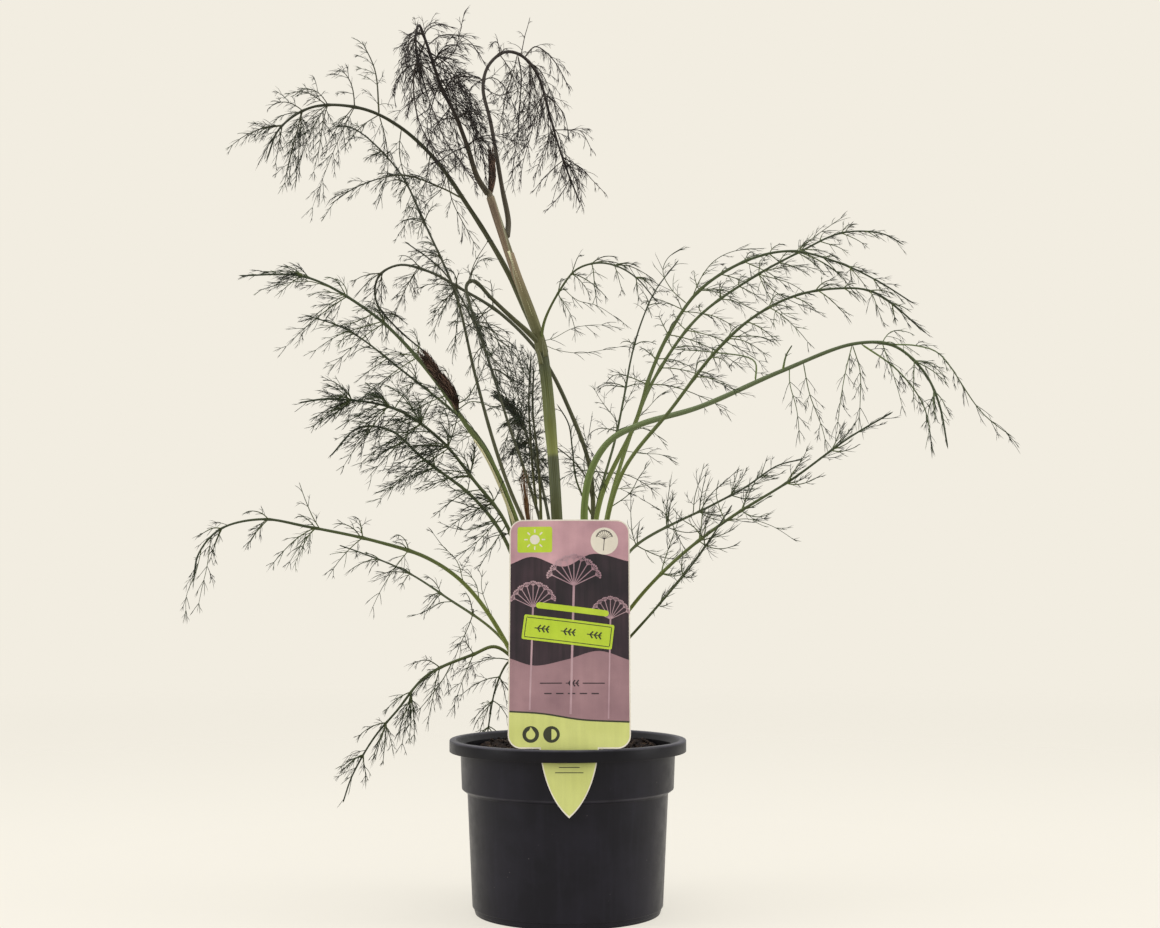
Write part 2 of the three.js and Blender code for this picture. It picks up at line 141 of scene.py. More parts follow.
def turn_about(vectors: Array, axes: Array, angles: Array) -> Array:
    """Turn each row's vector about its row's unit axis by its angle in radians.

    Args:
        vectors: One vector a row.
        axes: One unit axis a row.
        angles: One angle a row.

    Returns:
        The turned vectors.
    """
    cosine, sine = np.cos(angles)[:, None], np.sin(angles)[:, None]
    along = (vectors * axes).sum(1, keepdims=True)
    return vectors * cosine + np.cross(axes, vectors) * sine + axes * along * (1 - cosine)


def ripple(points: Array, wave: float, seed: int, crossings: int = 8) -> Array:
    """Give a smooth random value of about -1 to 1 at each point, from crossed waves.

    Args:
        points: Points in metres.
        wave: The waves' length in metres.
        seed: Picks the waves.
        crossings: How many waves cross.

    Returns:
        One value a point.
    """
    rng = np.random.default_rng(seed)
    ways = unit(rng.normal(size=(crossings, 3))) * rng.uniform(0.6, 1.6, (crossings, 1))
    phases = rng.uniform(0, 2 * math.pi, crossings)
    waves = np.sin(points @ (ways * 2 * math.pi / wave).T + phases)
    return waves.sum(-1) / math.sqrt(crossings)


def curve_through(points: Array, steps: int) -> Array:
    """Draw a centripetal curve through points, in evenly spaced steps.

    Args:
        points: The points that the curve passes through.
        steps: How many steps it is cut into.

    Returns:
        steps + 1 points.
    """
    points = np.asarray(points, float)
    ends = np.vstack([2 * points[0] - points[1], points, 2 * points[-1] - points[-2]])
    share = np.linspace(0, 1, 24, endpoint=False)[:, None]
    runs = []
    for before, start, end, after in zip(ends, ends[1:], ends[2:], ends[3:]):
        first, middle, last = (
            np.linalg.norm(b - a) ** 0.5 for a, b in ((before, start), (start, end), (end, after))
        )
        leave = (start - before) / first - (end - before) / (first + middle)
        leave = (leave + (end - start) / middle) * middle
        arrive = (after - end) / last - (after - start) / (middle + last)
        arrive = (arrive + (end - start) / middle) * middle
        square, cube = 3 * (end - start) - 2 * leave - arrive, 2 * (start - end) + leave + arrive
        runs.append(start + leave * share + square * share**2 + cube * share**3)
    line = np.vstack([*runs, points[-1:]])
    walked = np.append(0, np.linalg.norm(np.diff(line, axis=0), axis=1).cumsum())
    even = np.linspace(0, walked[-1], steps + 1)
    return np.stack([np.interp(even, walked, line[:, i]) for i in range(3)], axis=1)


def along_line(line: Array, share: float) -> tuple[Array, Array]:
    """Find the point and the unit direction ahead at a share of an evenly spaced line.

    Args:
        line: The line.
        share: How far along it, 0 to 1.

    Returns:
        The point and the direction.
    """
    exact = min(max(share, 0.0), 1.0) * (len(line) - 1)
    step = min(int(exact), len(line) - 2)
    return mix(line[step], line[step + 1], exact - step), unit(line[step + 1] - line[step])


def rounded(corners: Sequence[Point], steps: int = 4) -> Array:
    """Round the corners of an open outline.

    Args:
        corners: Corners as (x, y, radius). The first and the last stay sharp.
        steps: Steps in each rounding.

    Returns:
        The outline's points.
    """
    places = np.array([corner[:2] for corner in corners], float)
    outline = [places[0]]
    for before, corner, after, (_, _, radius) in zip(places, places[1:], places[2:], corners[1:]):
        back, ahead = before - corner, after - corner
        room = 0.45 * min(np.linalg.norm(back), np.linalg.norm(ahead))
        half = math.acos(float(np.clip(unit(back) @ unit(ahead), -1, 1))) / 2
        cut = min(radius / max(math.tan(half), 1e-6), room)
        start, end = corner + unit(back) * cut, corner + unit(ahead) * cut
        for share in np.linspace(0, 1, steps + 1):
            outline.append(mix(mix(start, corner, share), mix(corner, end, share), share))
    return np.array([*outline, places[-1]])


@dataclass
class Skin:
    """Closed shells gathered into one mesh, with a place on the bake map for every point."""

    points: list[Array] = field(default_factory=list)
    faces: list[Array] = field(default_factory=list)
    places: list[Array] = field(default_factory=list)
    size: int = 0

    def add_shells(self, rings: Array, starts: Array, ends: Array, places: Array) -> None:
        """Add shells that run from a start point over rings to an end point.

        Args:
            rings: Shells x rings x sides x 3, each ring anticlockwise as seen from the end.
            starts: The point that closes each shell's start.
            ends: The point that closes each shell's end.
            places: Map places of start, rings and end: shells x (rings * sides + 2) x 2.
        """
        count, rows, sides, _ = rings.shape
        total = rows * sides + 2
        side = np.arange(sides)
        beside = (side + 1) % sides
        row = 1 + np.arange(rows - 1)[:, None] * sides
        near, far = row + side, row + beside
        first = np.stack([np.zeros(sides, int), 1 + beside, 1 + side], -1)
        right = np.stack([near, far, far + sides], -1).reshape(-1, 3)
        left = np.stack([near, far + sides, near + sides], -1).reshape(-1, 3)
        end = total - 1 - sides
        last = np.stack([end + side, end + beside, np.full(sides, total - 1)], -1)
        shell = np.concatenate([first, right, left, last])
        flat = rings.reshape(count, rows * sides, 3)
        points = np.concatenate([starts[:, None], flat, ends[:, None]], 1).reshape(-1, 3)
        faces = (shell[None] + (np.arange(count) * total)[:, None, None]).reshape(-1, 3)
        self.points.append(points)
        self.faces.append(faces + self.size)
        self.places.append(places.reshape(-1, 2))
        self.size += len(points)

    def add_tubes(
        self,
        lines: Array,
        radii: Array,
        sides: int,
        across: Array,
        along: Array,
        side_way: Array | None = None,
        squash: Array | None = None,
    ) -> None:
        """Add round tubes along lines, closed to a point at both ends.

        Args:
            lines: Tubes x points x 3, in metres. The first and last points close the tube.
            radii: Radii in metres, tubes x points. Those of the first and last aren't used.
            sides: Sides of each tube.
            across: Lowest and highest map place across, a row a tube.
            along: Map place along at start and end, a row a tube.
            side_way: The way that each tube's first side faces, or None for level.
            squash: Radii by side, points x sides, as shares, or None for round.
        """
        ahead = unit(lines[:, 2:] - lines[:, :-2])
        if side_way is None:
            steep = np.abs(ahead[:, :1, 2:]) > 0.95
            side_way = np.cross(ahead[:, 0], np.where(steep[:, 0], [1.0, 0, 0], UP))
        normals = np.empty_like(ahead)
        normal = side_way
        for step in range(ahead.shape[1]):
            normal = square_to(normal, ahead[:, step])
            normals[:, step] = normal
        angle = steps_round(sides)[:, None]
        out = normals[:, :, None] * np.cos(angle) + np.cross(ahead, normals)[:, :, None] * np.sin(angle)
        reach = radii[:, 1:-1, None] * np.ones(sides)
        if squash is not None:
            reach = reach * squash[1:-1]
        rings = lines[:, 1:-1, None] + out * reach[..., None]
        self.add_shells(rings, lines[:, 0], lines[:, -1], tube_places(lines, sides, across, along))

    def piece(self, name: str, material: Material) -> Piece:
        """Make a smooth-shaded piece with its bake map, and put it in the scene.

        Args:
            name: The piece's name.
            material: Its material.

        Returns:
            The new piece.
        """
        points, faces = np.concatenate(self.points), np.concatenate(self.faces).astype(np.int32)
        mesh = bpy.data.meshes.new(name)
        mesh.vertices.add(len(points))
        mesh.vertices.foreach_set("co", points.astype(np.float32).ravel())
        mesh.loops.add(faces.size)
        mesh.loops.foreach_set("vertex_index", faces.ravel())
        mesh.polygons.add(len(faces))
        mesh.polygons.foreach_set("loop_start", np.arange(0, faces.size, 3, dtype=np.int32))
        mesh.polygons.foreach_set("use_smooth", np.ones(len(faces), bool))
        layer = mesh.uv_layers.new(name=BAKE_MAP)
        places = np.concatenate(self.places)[faces.ravel()]
        layer.data.foreach_set("uv", places.astype(np.float32).ravel())
        mesh.update(calc_edges=True)
        mesh.validate()
        return show(mesh, material)


def tube_places(lines: Array, sides: int, across: Array, along: Array) -> Array:
    """Lay tubes out on the bake map, there and back across, so that no face wraps round.

    Args:
        lines: Tubes x points x 3.
        sides: Sides of each tube.
        across: Lowest and highest place across, a row a tube.
        along: Place along at start and end, a row a tube.

    Returns:
        Places of each tube's start, rings and end: tubes x (rings * sides + 2) x 2.
    """
    count, total, _ = lines.shape
    walked = np.linalg.norm(np.diff(lines, axis=1), axis=2).cumsum(1)
    share = np.concatenate([np.zeros((count, 1)), walked], 1) / walked[:, -1:]
    there_and_back = 1 - np.abs(1 - 2 * np.arange(sides) / sides)
    round_share = np.array([0.0, 0.5, 1.0]) if sides == 3 else there_and_back
    places = np.empty((count, (total - 2) * sides + 2, 2))
    u = mix(across[:, :1], across[:, 1:], round_share[None])
    v = mix(along[:, :1], along[:, 1:], share)
    places[:, 1:-1, 0] = np.tile(u, (1, total - 2))
    places[:, 1:-1, 1] = np.repeat(v[:, 1:-1], sides, axis=1)
    places[:, [0, -1], 0] = across.mean(1, keepdims=True)
    places[:, [0, -1], 1] = v[:, [0, -1]]
    return places


def show(mesh: bpy.types.Mesh, *materials: Material) -> Piece:
    """Put a mesh in the scene under its own name.

    Args:
        mesh: The mesh.
        materials: Its materials in slot order.

    Returns:
        The new piece.
    """
    piece = bpy.data.objects.new(mesh.name, mesh)
    bpy.context.scene.collection.objects.link(piece)
    for material in materials:
        mesh.materials.append(material)
    return piece


def hand_over(piece: Piece, node: str) -> None:
    """Tie a finished piece to the frame and report it.

    Args:
        piece: The piece.
        node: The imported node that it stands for.
    """
    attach(piece, BODY)
    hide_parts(node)
    triangles = sum(len(face.vertices) - 2 for face in piece.data.polygons)
    LOG.info("%s stands for %s, %d triangles", piece.name, node, triangles)


class Graph:
    """The nodes of a material or a world, with short calls that add and link them."""

    def __init__(self, owner: Material | bpy.types.World) -> None:
        """Switch the owner's nodes on.

        Args:
            owner: The material or the world.
        """
        owner.use_nodes = True
        self.owner = owner
        self.tree = owner.node_tree

    def add(self, kind: str, inputs: dict[str | int, object] | None = None, **settings: object) -> Socket:
        """Add a node.

        Args:
            kind: The node's type without its ShaderNode prefix.
            inputs: A value or a socket for each input, by name or number.
            settings: The node's own settings. output picks its output, by name or number.

        Returns:
            The node's output, or None if it has none.
        """
        output = settings.pop("output", 0)
        node = self.tree.nodes.new("ShaderNode" + kind)
        for name, value in settings.items():
            setattr(node, name, value)
        for name, value in (inputs or {}).items():
            self.feed(node.inputs[name], value)
        return node.outputs[output] if node.outputs else None

    def feed(self, socket: Socket, value: object) -> None:
        """Link a socket to another, or set its value.

        Args:
            socket: The input.
            value: A socket to link, or a value. Colours are as in shader_colour.
        """
        if isinstance(value, Socket):
            self.tree.links.new(value, socket)
        else:
            socket.default_value = shader_colour(value) if socket.type == "RGBA" else value

    def dress(self, **inputs: object) -> Material:
        """Set the surface shader's inputs.

        Args:
            inputs: A value or a socket for each input, named with _ for a space.

        Returns:
            The material.
        """
        surface = self.tree.nodes["Principled BSDF"]
        for name, value in inputs.items():
            self.feed(surface.inputs[name.replace("_", " ")], value)
        return self.owner

    def place(self) -> Socket:
        """Give the surface's place in the frame, in metres."""
        return self.add("TexCoord", output="Object")

    def map_place(self) -> Socket:
        """Give the surface's place on the bake map."""
        return self.add("UVMap", uv_map=BAKE_MAP)

    def parts(self, vector: Socket) -> tuple[Socket, Socket, Socket]:
        """Split a vector in its three parts."""
        node = self.add("SeparateXYZ", {0: vector}).node
        return tuple(node.outputs)

    def math(self, operation: str, first: object, second: object = 0.0) -> Socket:
        """Work out one value from two."""
        return self.add("Math", {0: first, 1: second}, operation=operation)

    def stretch(self, vector: Socket, by: Point) -> Socket:
        """Scale a vector's three parts."""
        return self.add("VectorMath", {0: vector, 1: by}, operation="MULTIPLY")

    def noise(self, vector: Socket, scale: float, detail: float = 4.0, rough: float = 0.55) -> Socket:
        """Give smooth noise of about 0 to 1.

        Args:
            vector: Where it is read.
            scale: Its fineness.
            detail: How many finer layers it has.
            rough: How strong the finer layers are.

        Returns:
            The noise's value.
        """
        inputs = {"Vector": vector, "Scale": scale, "Detail": detail, "Roughness": rough}
        return self.add("TexNoise", inputs)

    def ranged(self, value: Socket, start: float, end: float, low: float, high: float) -> Socket:
        """Map a value from start-end to low-high, held at both ends."""
        return self.add("MapRange", {0: value, 1: start, 2: end, 3: low, 4: high})

    def ramp(self, value: Socket, stops: Sequence[tuple[float, Colour]]) -> Socket:
        """Give a value its colour.

        Args:
            value: The value, 0 to 1.
            stops: Colours by value, in rising order.

        Returns:
            The colour.
        """
        colour = self.add("ValToRGB", {0: value})
        elements = colour.node.color_ramp.elements
        while len(elements) < len(stops):
            elements.new(1.0)
        for element, (position, stop) in zip(elements, stops):
            element.position = position
            element.color = shader_colour(stop)
        return colour

    def blend(self, share: object, first: object, second: object) -> Socket:
        """Mix two colours."""
        return self.add("Mix", {0: share, 6: first, 7: second}, data_type="RGBA", output=2)

    def lit(self, colour: object, value: object) -> Socket:
        """Scale a colour's brightness by a value."""
        return self.add("HueSaturation", {"Value": value, "Color": colour})

    def bump(self, height: Socket, depth: float, strength: float = 1.0) -> Socket:
        """Turn a height of 0 to 1 into a bumped normal, with the depth of a height of 1 in mm."""
        return self.add("Bump", {"Height": height, "Distance": depth * MM, "Strength": strength})


@dataclass(frozen=True)
class MouldedPlastic:
    """Black nursery-pot plastic: satin, a little dusty, with faint drag marks from the mould.

    The edges are heights in metres: of the painted highlights along the rim's top and along the ledge, and
    of the foot of the painted shade over the skirt and rim.
    """

    body: Colour = (18, 17, 25)
    worn: Colour = (36, 34, 45)
    dust: Colour = (112, 106, 104)
    # painted highlight: the light grey laid along the rim's top and the ledge
    painted_highlight: Colour = (92, 90, 100)
    # painted shade: near-black laid over the skirt and the rim above it
    skirt: Colour = (7, 6, 9)
    # heights of the painted highlights on the rim's top and on the ledge
    rim_highlight_span: Span = (0.1214, 0.1228)
    ledge_highlight_height: float = 0.0872
    # the heights where the painted shade over the skirt and rim begins
    rim_shade_span: Span = (0.1136, 0.1146)

    def material(self) -> Material:
        """Make the material.

        Returns:
            The plastic.
        """
        graph = Graph(bpy.data.materials.new("pot_plastic"))
        place = graph.place()
        clouds = graph.noise(place, 26, 5, 0.6)
        drags = graph.noise(graph.stretch(place, (1, 1, 0.08)), 210, 3)
        colour = graph.blend(graph.ranged(clouds, 0.4, 0.75, 0, 0.55), self.body, self.worn)
        colour = graph.blend(graph.ranged(drags, 0.5, 0.8, 0, 0.35), colour, self.worn)
        cells = graph.add("TexVoronoi", {"Vector": place, "Scale": 260}, output="Distance")
        sparse = graph.ranged(graph.noise(place, 60, 2), 0.6, 0.68, 0, 1)
        specks = graph.math("MULTIPLY", graph.ranged(cells, 0.03, 0.11, 0.55, 0), sparse)
        colour = graph.blend(specks, colour, self.dust)
        height = graph.parts(place)[2]
        # painted highlights: a light line along the ledge and along the rim's top, broken up by noise
        off_ledge = graph.math("ABSOLUTE", graph.math("SUBTRACT", height, self.ledge_highlight_height))
        ledge = graph.ranged(off_ledge, 0.0002, 0.0012, 0.4, 0)
        edges = graph.math("MAXIMUM", graph.ranged(height, *self.rim_highlight_span, 0, 0.75), ledge)
        uneven = graph.ranged(graph.noise(place, 45, 3), 0.3, 0.7, 0.25, 1)
        # painted shade: the skirt and the rim above it are darkened towards near-black
        colour = graph.blend(graph.ranged(height, *self.rim_shade_span, 0, 0.7), colour, self.skirt)
        # lay the painted highlights over the colour
        colour = graph.blend(graph.math("MULTIPLY", edges, uneven), colour, self.painted_highlight)
        relief = graph.math("ADD", graph.math("MULTIPLY", drags, 0.6), graph.noise(place, 1500, 3))
        return graph.dress(
            Base_Color=colour,
            Roughness=graph.ranged(graph.noise(place, 90, 5, 0.65), 0.3, 0.7, 0.3, 0.44),
            Specular_IOR_Level=0.19,
            Normal=graph.bump(relief, 0.05, 0.5),
        )


@dataclass(frozen=True)
class PottingMix:
    """Moist peat and bark: brown-black, with lighter crumbs and straw-coloured fibres."""

    stops: tuple[tuple[float, Colour], ...] = (
        (0.3, (22, 18, 17)), (0.52, (42, 34, 31)), (0.66, (74, 60, 50)), (0.82, (134, 116, 92)),
    )

    def material(self) -> Material:
        """Make the material.

        Returns:
            The soil mix.
        """
        graph = Graph(bpy.data.materials.new("potting_mix"))
        place = graph.place()
        fine = graph.noise(place, 1300, 6, 0.7)
        patches = graph.ramp(graph.noise(place, 240, 2), self.stops)
        return graph.dress(
            Base_Color=graph.lit(patches, graph.ranged(fine, 0.3, 0.7, 0.55, 1.25)),
            Roughness=0.93,
            Specular_IOR_Level=0.2,
            Normal=graph.bump(fine, 0.6),
        )


@dataclass(frozen=True)
class PrintedInk:
    """One printed colour of the label under a clear film: shaded, with soft streaks up the card, and where
    set, painted light that brightens it towards the card's top.
    """

    name: str
    ink: Colour
    shade: Colour
    streaks: float = 0.15
    streak_scale: float = 220.0
    # painted light: how much brighter the colour gets towards the card's top, and between which heights in
    # metres
    top_light_gain: float = 1.0
    top_light_rise: Span = (0.19, 0.25)

    def material(self) -> Material:
        """Make the material.

        Returns:
            The ink.
        """
        graph = Graph(bpy.data.materials.new("label_" + self.name))
        place = graph.place()
        clouds = graph.ranged(graph.noise(place, 28, 3), 0.35, 0.7, 0, 1)
        lines = graph.noise(graph.stretch(place, (1, 0.06, 0.06)), self.streak_scale, 5, 0.6)
        streaked = graph.ranged(lines, 0.3, 0.7, 1 - self.streaks, 1 + self.streaks)
        dotted = graph.ranged(graph.noise(place, 2600, 1), 0.35, 0.65, 0.97, 1.03)
        # painted light: the colour brightens towards the card's top
        top_lit = graph.ranged(graph.parts(place)[2], *self.top_light_rise, 1, self.top_light_gain)
        colour = graph.blend(clouds, self.ink, self.shade)
        for value in (streaked, dotted, top_lit):
            colour = graph.lit(colour, value)
        film = graph.noise(place, 45, 3)
        return graph.dress(
            Base_Color=colour,
            Roughness=graph.ranged(film, 0.3, 0.7, 0.3, 0.42),
            Specular_IOR_Level=0.45,
            Normal=graph.bump(film, 0.25, 0.35),
        )


class MapBand(Enum):
    """Strips of the bake map, as lowest and highest places across, for a plant's three tissues."""

    STALK = (0.02, 0.28)
    SHEATH = (0.32, 0.46)
    THREAD = (0.52, 0.98)


PALE_SHEATH = ((158, 154, 108), (150, 146, 104), (176, 170, 132))
DARK_THREAD = ((48, 56, 34), (34, 41, 27), (25, 30, 22), (20, 24, 18))


@dataclass(frozen=True)
class PlantTissue:
    """Stalk, sheath and threads of a leaf or stem, coloured along their length on the bake map.

    Each list of colours runs from the foot to the tip. On the map, stalks, sheaths and threads have
    strips of their own, so one material serves a whole leaf.
    """

    name: str
    stalk: tuple[Colour, ...]
    young: Colour
    aged: Colour
    sheath: tuple[Colour, ...] = PALE_SHEATH
    thread: tuple[Colour, ...] = DARK_THREAD
    roughness: float = 0.56
    bloom: Colour = (132, 142, 120)
    bloom_share: float = 0.12
    margin: Colour = (206, 200, 168)
    stalk_at: tuple[float, ...] = ()

    def material(self) -> Material:
        """Make the material.

        Returns:
            The tissue.
        """
        graph = Graph(bpy.data.materials.new("tissue_" + self.name))
        place = graph.map_place()
        across, along, _ = graph.parts(place)
        streaks, blotches = (
            graph.noise(
                graph.add("CombineXYZ", {0: graph.math("MULTIPLY", across, close), 1: along, 2: layer}),
                scale,
                detail,
            )
            for close, layer, scale, detail in ((14, 0.0, 5, 3), (9, 4.0, 14, 4))
        )
        stalk = graph.ramp(along, self.even_stops(self.stalk, self.stalk_at))
        stalk = graph.blend(graph.ranged(blotches, 0.45, 0.7, 0, self.bloom_share), stalk, self.bloom)
        stalk = graph.lit(stalk, graph.ranged(streaks, 0.3, 0.7, 0.7, 1.25))
        low, high = MapBand.SHEATH.value
        off_middle = graph.math("ABSOLUTE", graph.math("SUBTRACT", across, (low + high) / 2))
        edge = graph.ranged(off_middle, (high - low) * 0.38, (high - low) * 0.48, 0, 0.8)
        sheath = graph.blend(edge, graph.ramp(along, self.even_stops(self.sheath)), self.margin)
        sheath = graph.lit(sheath, graph.ranged(streaks, 0.3, 0.7, 0.76, 1.2))
        tone = graph.ranged(across, *MapBand.THREAD.value, 0, 1)
        thread = graph.ramp(along, self.even_stops(self.thread))
        thread = graph.blend(graph.ranged(tone, 0.62, 1, 0, 0.6), thread, self.young)
        thread = graph.blend(graph.ranged(tone, 0, 0.34, 0.6, 0), thread, self.aged)
        thread = graph.lit(thread, graph.ranged(graph.noise(place, 90, 2), 0.3, 0.7, 0.85, 1.15))
        colour = graph.blend(graph.math("LESS_THAN", across, 0.3), sheath, stalk)
        return graph.dress(
            Base_Color=graph.blend(graph.math("LESS_THAN", across, 0.49), thread, colour),
            Roughness=self.roughness,
            Specular_IOR_Level=0.2,
            Normal=graph.bump(streaks, 0.2, 0.6),
        )

    @staticmethod
    def even_stops(colours: Sequence[Colour], places: Sequence[float] = ()) -> list[tuple[float, Colour]]:
        """Spread colours evenly from 0 to 1, or put them at given places."""
        return list(zip(places or np.linspace(0, 1, len(colours)).tolist(), colours))


GREEN = PlantTissue(
    "green",
    stalk=((118, 126, 58), (96, 104, 52), (70, 78, 44), (52, 58, 36), (42, 46, 33)),
    young=(70, 86, 44),
    aged=(56, 46, 40),
)
LIME = PlantTissue(
    "lime",
    stalk=((142, 152, 70), (112, 124, 56), (82, 92, 48), (58, 66, 40), (44, 50, 35)),
    young=(80, 98, 48),
    aged=(50, 48, 38),
)
OLIVE = PlantTissue(
    "olive",
    stalk=((110, 116, 56), (80, 80, 48), (64, 64, 42), (54, 55, 38), (44, 46, 33)),
    young=(62, 76, 40),
    aged=(56, 46, 40),
)
BLOOM = PlantTissue(
    "bloom",
    stalk=(
        (156, 168, 76), (122, 140, 54), (98, 114, 52), (96, 108, 72), (86, 96, 64), (70, 80, 50),
        (48, 54, 38),
    ),
    young=(74, 92, 50),
    aged=(50, 48, 38),
    bloom_share=0.22,
)
BRONZE = PlantTissue(
    "bronze",
    stalk=((94, 86, 58), (70, 64, 46), (54, 47, 39), (44, 38, 34), (36, 31, 30)),
    sheath=((140, 124, 104), (112, 98, 84), (150, 136, 116)),
    thread=((50, 44, 37), (40, 34, 31), (31, 26, 27), (24, 20, 22)),
    young=(56, 54, 38),
    aged=(52, 36, 38),
    bloom=(108, 98, 90),
)
FOLDED = PlantTissue(
    "bud",
    stalk=((72, 62, 34), (54, 34, 24), (38, 26, 18), (28, 20, 15)),
    sheath=((110, 84, 58), (84, 52, 38), (66, 40, 30)),
    thread=((92, 50, 38), (62, 42, 30), (44, 32, 22), (32, 26, 18)),
    young=(156, 126, 108),
    aged=(22, 17, 12),
    roughness=0.7,
    bloom=(96, 74, 58),
)
SPROUT = PlantTissue(
    "sprout",
    stalk=((92, 86, 46), (88, 68, 38), (80, 56, 34), (60, 44, 30)),
    sheath=((120, 90, 58), (104, 62, 40), (86, 50, 34)),
    thread=((92, 84, 44), (104, 78, 44), (96, 66, 38), (68, 50, 32)),
    young=(150, 104, 62),
    aged=(36, 30, 20),
    roughness=0.7,
    bloom=(140, 92, 60),
)


@dataclass
class NurseryPot:
    """The round nursery pot, with a foot ring, a stacking ledge and a rim with a hanging skirt."""

    rim_radius: float = 85.0
    height: float = 123.0
    foot_radius: float = 68.0
    ledge_radius: float = 72.0
    ledge_height: float = 85.0
    band_radius: float = 76.0
    wall: float = 1.2
    skirt_bottom: float = 114.5
    rim_land: float = 4.5
    drain_radius: float = 4.5
    drain_rings: tuple[tuple[int, float], ...] = ((8, 47.0), (4, 28.0))
    slot_size: Point = (42.0, 1.8, 16.0)
    steps: int = 160

    def profile(self) -> Array:
        """Give the wall's outline, from the foot's middle up and back inside.

        Returns:
            Radius and height of each point, in millimetres.
        """
        foot, ledge, band, wall = self.foot_radius, self.ledge_radius, self.band_radius, self.wall
        rim, top, shelf = self.rim_radius, self.height, self.ledge_height
        inner_rim = rim - self.rim_land
        return rounded(
            [
                (0, 0, 0), (18, 0, 0.5), (20, 3, 0.6), (56, 3, 0.6), (58, 0, 0.5),
                (foot - 1.8, 0, 0.5), (foot - 1.4, 4.2, 0.3), (foot + 0.2, 4.8, 0.6),
                (ledge, shelf, 1.2), (band, shelf + 3, 1.2), (band + wall, top - 5.8, 0.4),
                (inner_rim + 0.7, top - 1.4, 0.3), (rim - 1.3, top - 1.4, 0.3),
                (rim - 1.3, self.skirt_bottom, 0.3), (rim, self.skirt_bottom, 0.4), (rim, top, 1.1),
                (inner_rim, top, 0.9), (band + 0.2, top - 4.5, 0.6),
                (band - wall, shelf + 3.6, 0.8), (ledge - wall, shelf + 0.6, 0.8),
                (foot - wall, wall + 0.4, 0.8), (57.4, wall + 0.4, 0.4), (55.4, 3 + wall, 0.4),
                (20.6, 3 + wall, 0.4), (18.6, wall + 0.4, 0.4), (0, wall + 0.4, 0),
            ]
        )

    def build(self, label: "PlantLabel") -> None:
        """Turn the wall, cut its holes and slot, and dress it.

        Args:
            label: The label that hangs in the slot.
        """
        skin = Skin()
        add_turned(skin, self.profile(), self.steps)
        pot = skin.piece("pot_body", MouldedPlastic().material())
        pot.data.uv_layers.remove(pot.data.uv_layers[BAKE_MAP])
        cut_away(pot, self.cutters(label))
        pot.data.polygons.foreach_set("use_smooth", [True] * len(pot.data.polygons))
        pot.data.set_sharp_from_angle(angle=math.radians(38))
        hand_over(pot, "nursery_pot")

    def cutters(self, label: "PlantLabel") -> bmesh.types.BMesh:
        """Make the solids that are cut out of the pot.

        Args:
            label: The label, whose lean the slot follows.

        Returns:
            The drain holes and the slot in one mesh.
        """
        tool = bmesh.new()
        drain = {"radius1": self.drain_radius * MM, "radius2": self.drain_radius * MM, "depth": 12 * MM}
        for count, at in self.drain_rings:
            for number in range(count):
                angle = (number + 0.5) / count * 2 * math.pi
                made = bmesh.ops.create_cone(tool, cap_ends=True, segments=20, **drain)
                middle = Vector((at * math.cos(angle), at * math.sin(angle), 3)) * MM
                bmesh.ops.translate(tool, verts=made["verts"], vec=middle)
        for corner in bmesh.ops.create_cube(tool, size=1.0)["verts"]:
            x, y, z = (part * size for part, size in zip(corner.co, self.slot_size))
            corner.co = Vector(label.placed(np.array([[x, z - label.lift]]), -y)[0])
        return tool


def add_turned(skin: Skin, profile: Array, steps: int) -> None:
    """Turn an outline about the upright axis.

    Args:
        skin: Where the shell goes.
        profile: Radius and height in millimetres, from axis to axis.
        steps: Steps round.
    """
    radius, height = profile[1:-1, 0, None, None] * MM, profile[1:-1, 1, None, None] * MM
    rings = (directions(steps_round(steps)) * radius + UP * height)[None]
    starts, ends = (UP[None] * profile[row, 1] * MM for row in (0, -1))
    skin.add_shells(rings, starts, ends, np.zeros((1, rings[0, ..., 0].size + 2, 2)))


def cut_away(piece: Piece, tool: bmesh.types.BMesh) -> None:
    """Cut a tool's solids out of a piece, and free the tool.

    Args:
        piece: The piece.
        tool: The solids.
    """
    mesh = bpy.data.meshes.new("cutters")
    tool.to_mesh(mesh)
    tool.free()
    cutter = show(mesh)
    modifier = piece.modifiers.new("holes", "BOOLEAN")
    modifier.operation = "DIFFERENCE"
    modifier.solver = "EXACT"
    modifier.object = cutter
    depsgraph = bpy.context.evaluated_depsgraph_get()
    cut = bpy.data.meshes.new_from_object(piece.evaluated_get(depsgraph))
    piece.modifiers.clear()
    piece.data = cut
    bpy.data.objects.remove(cutter)


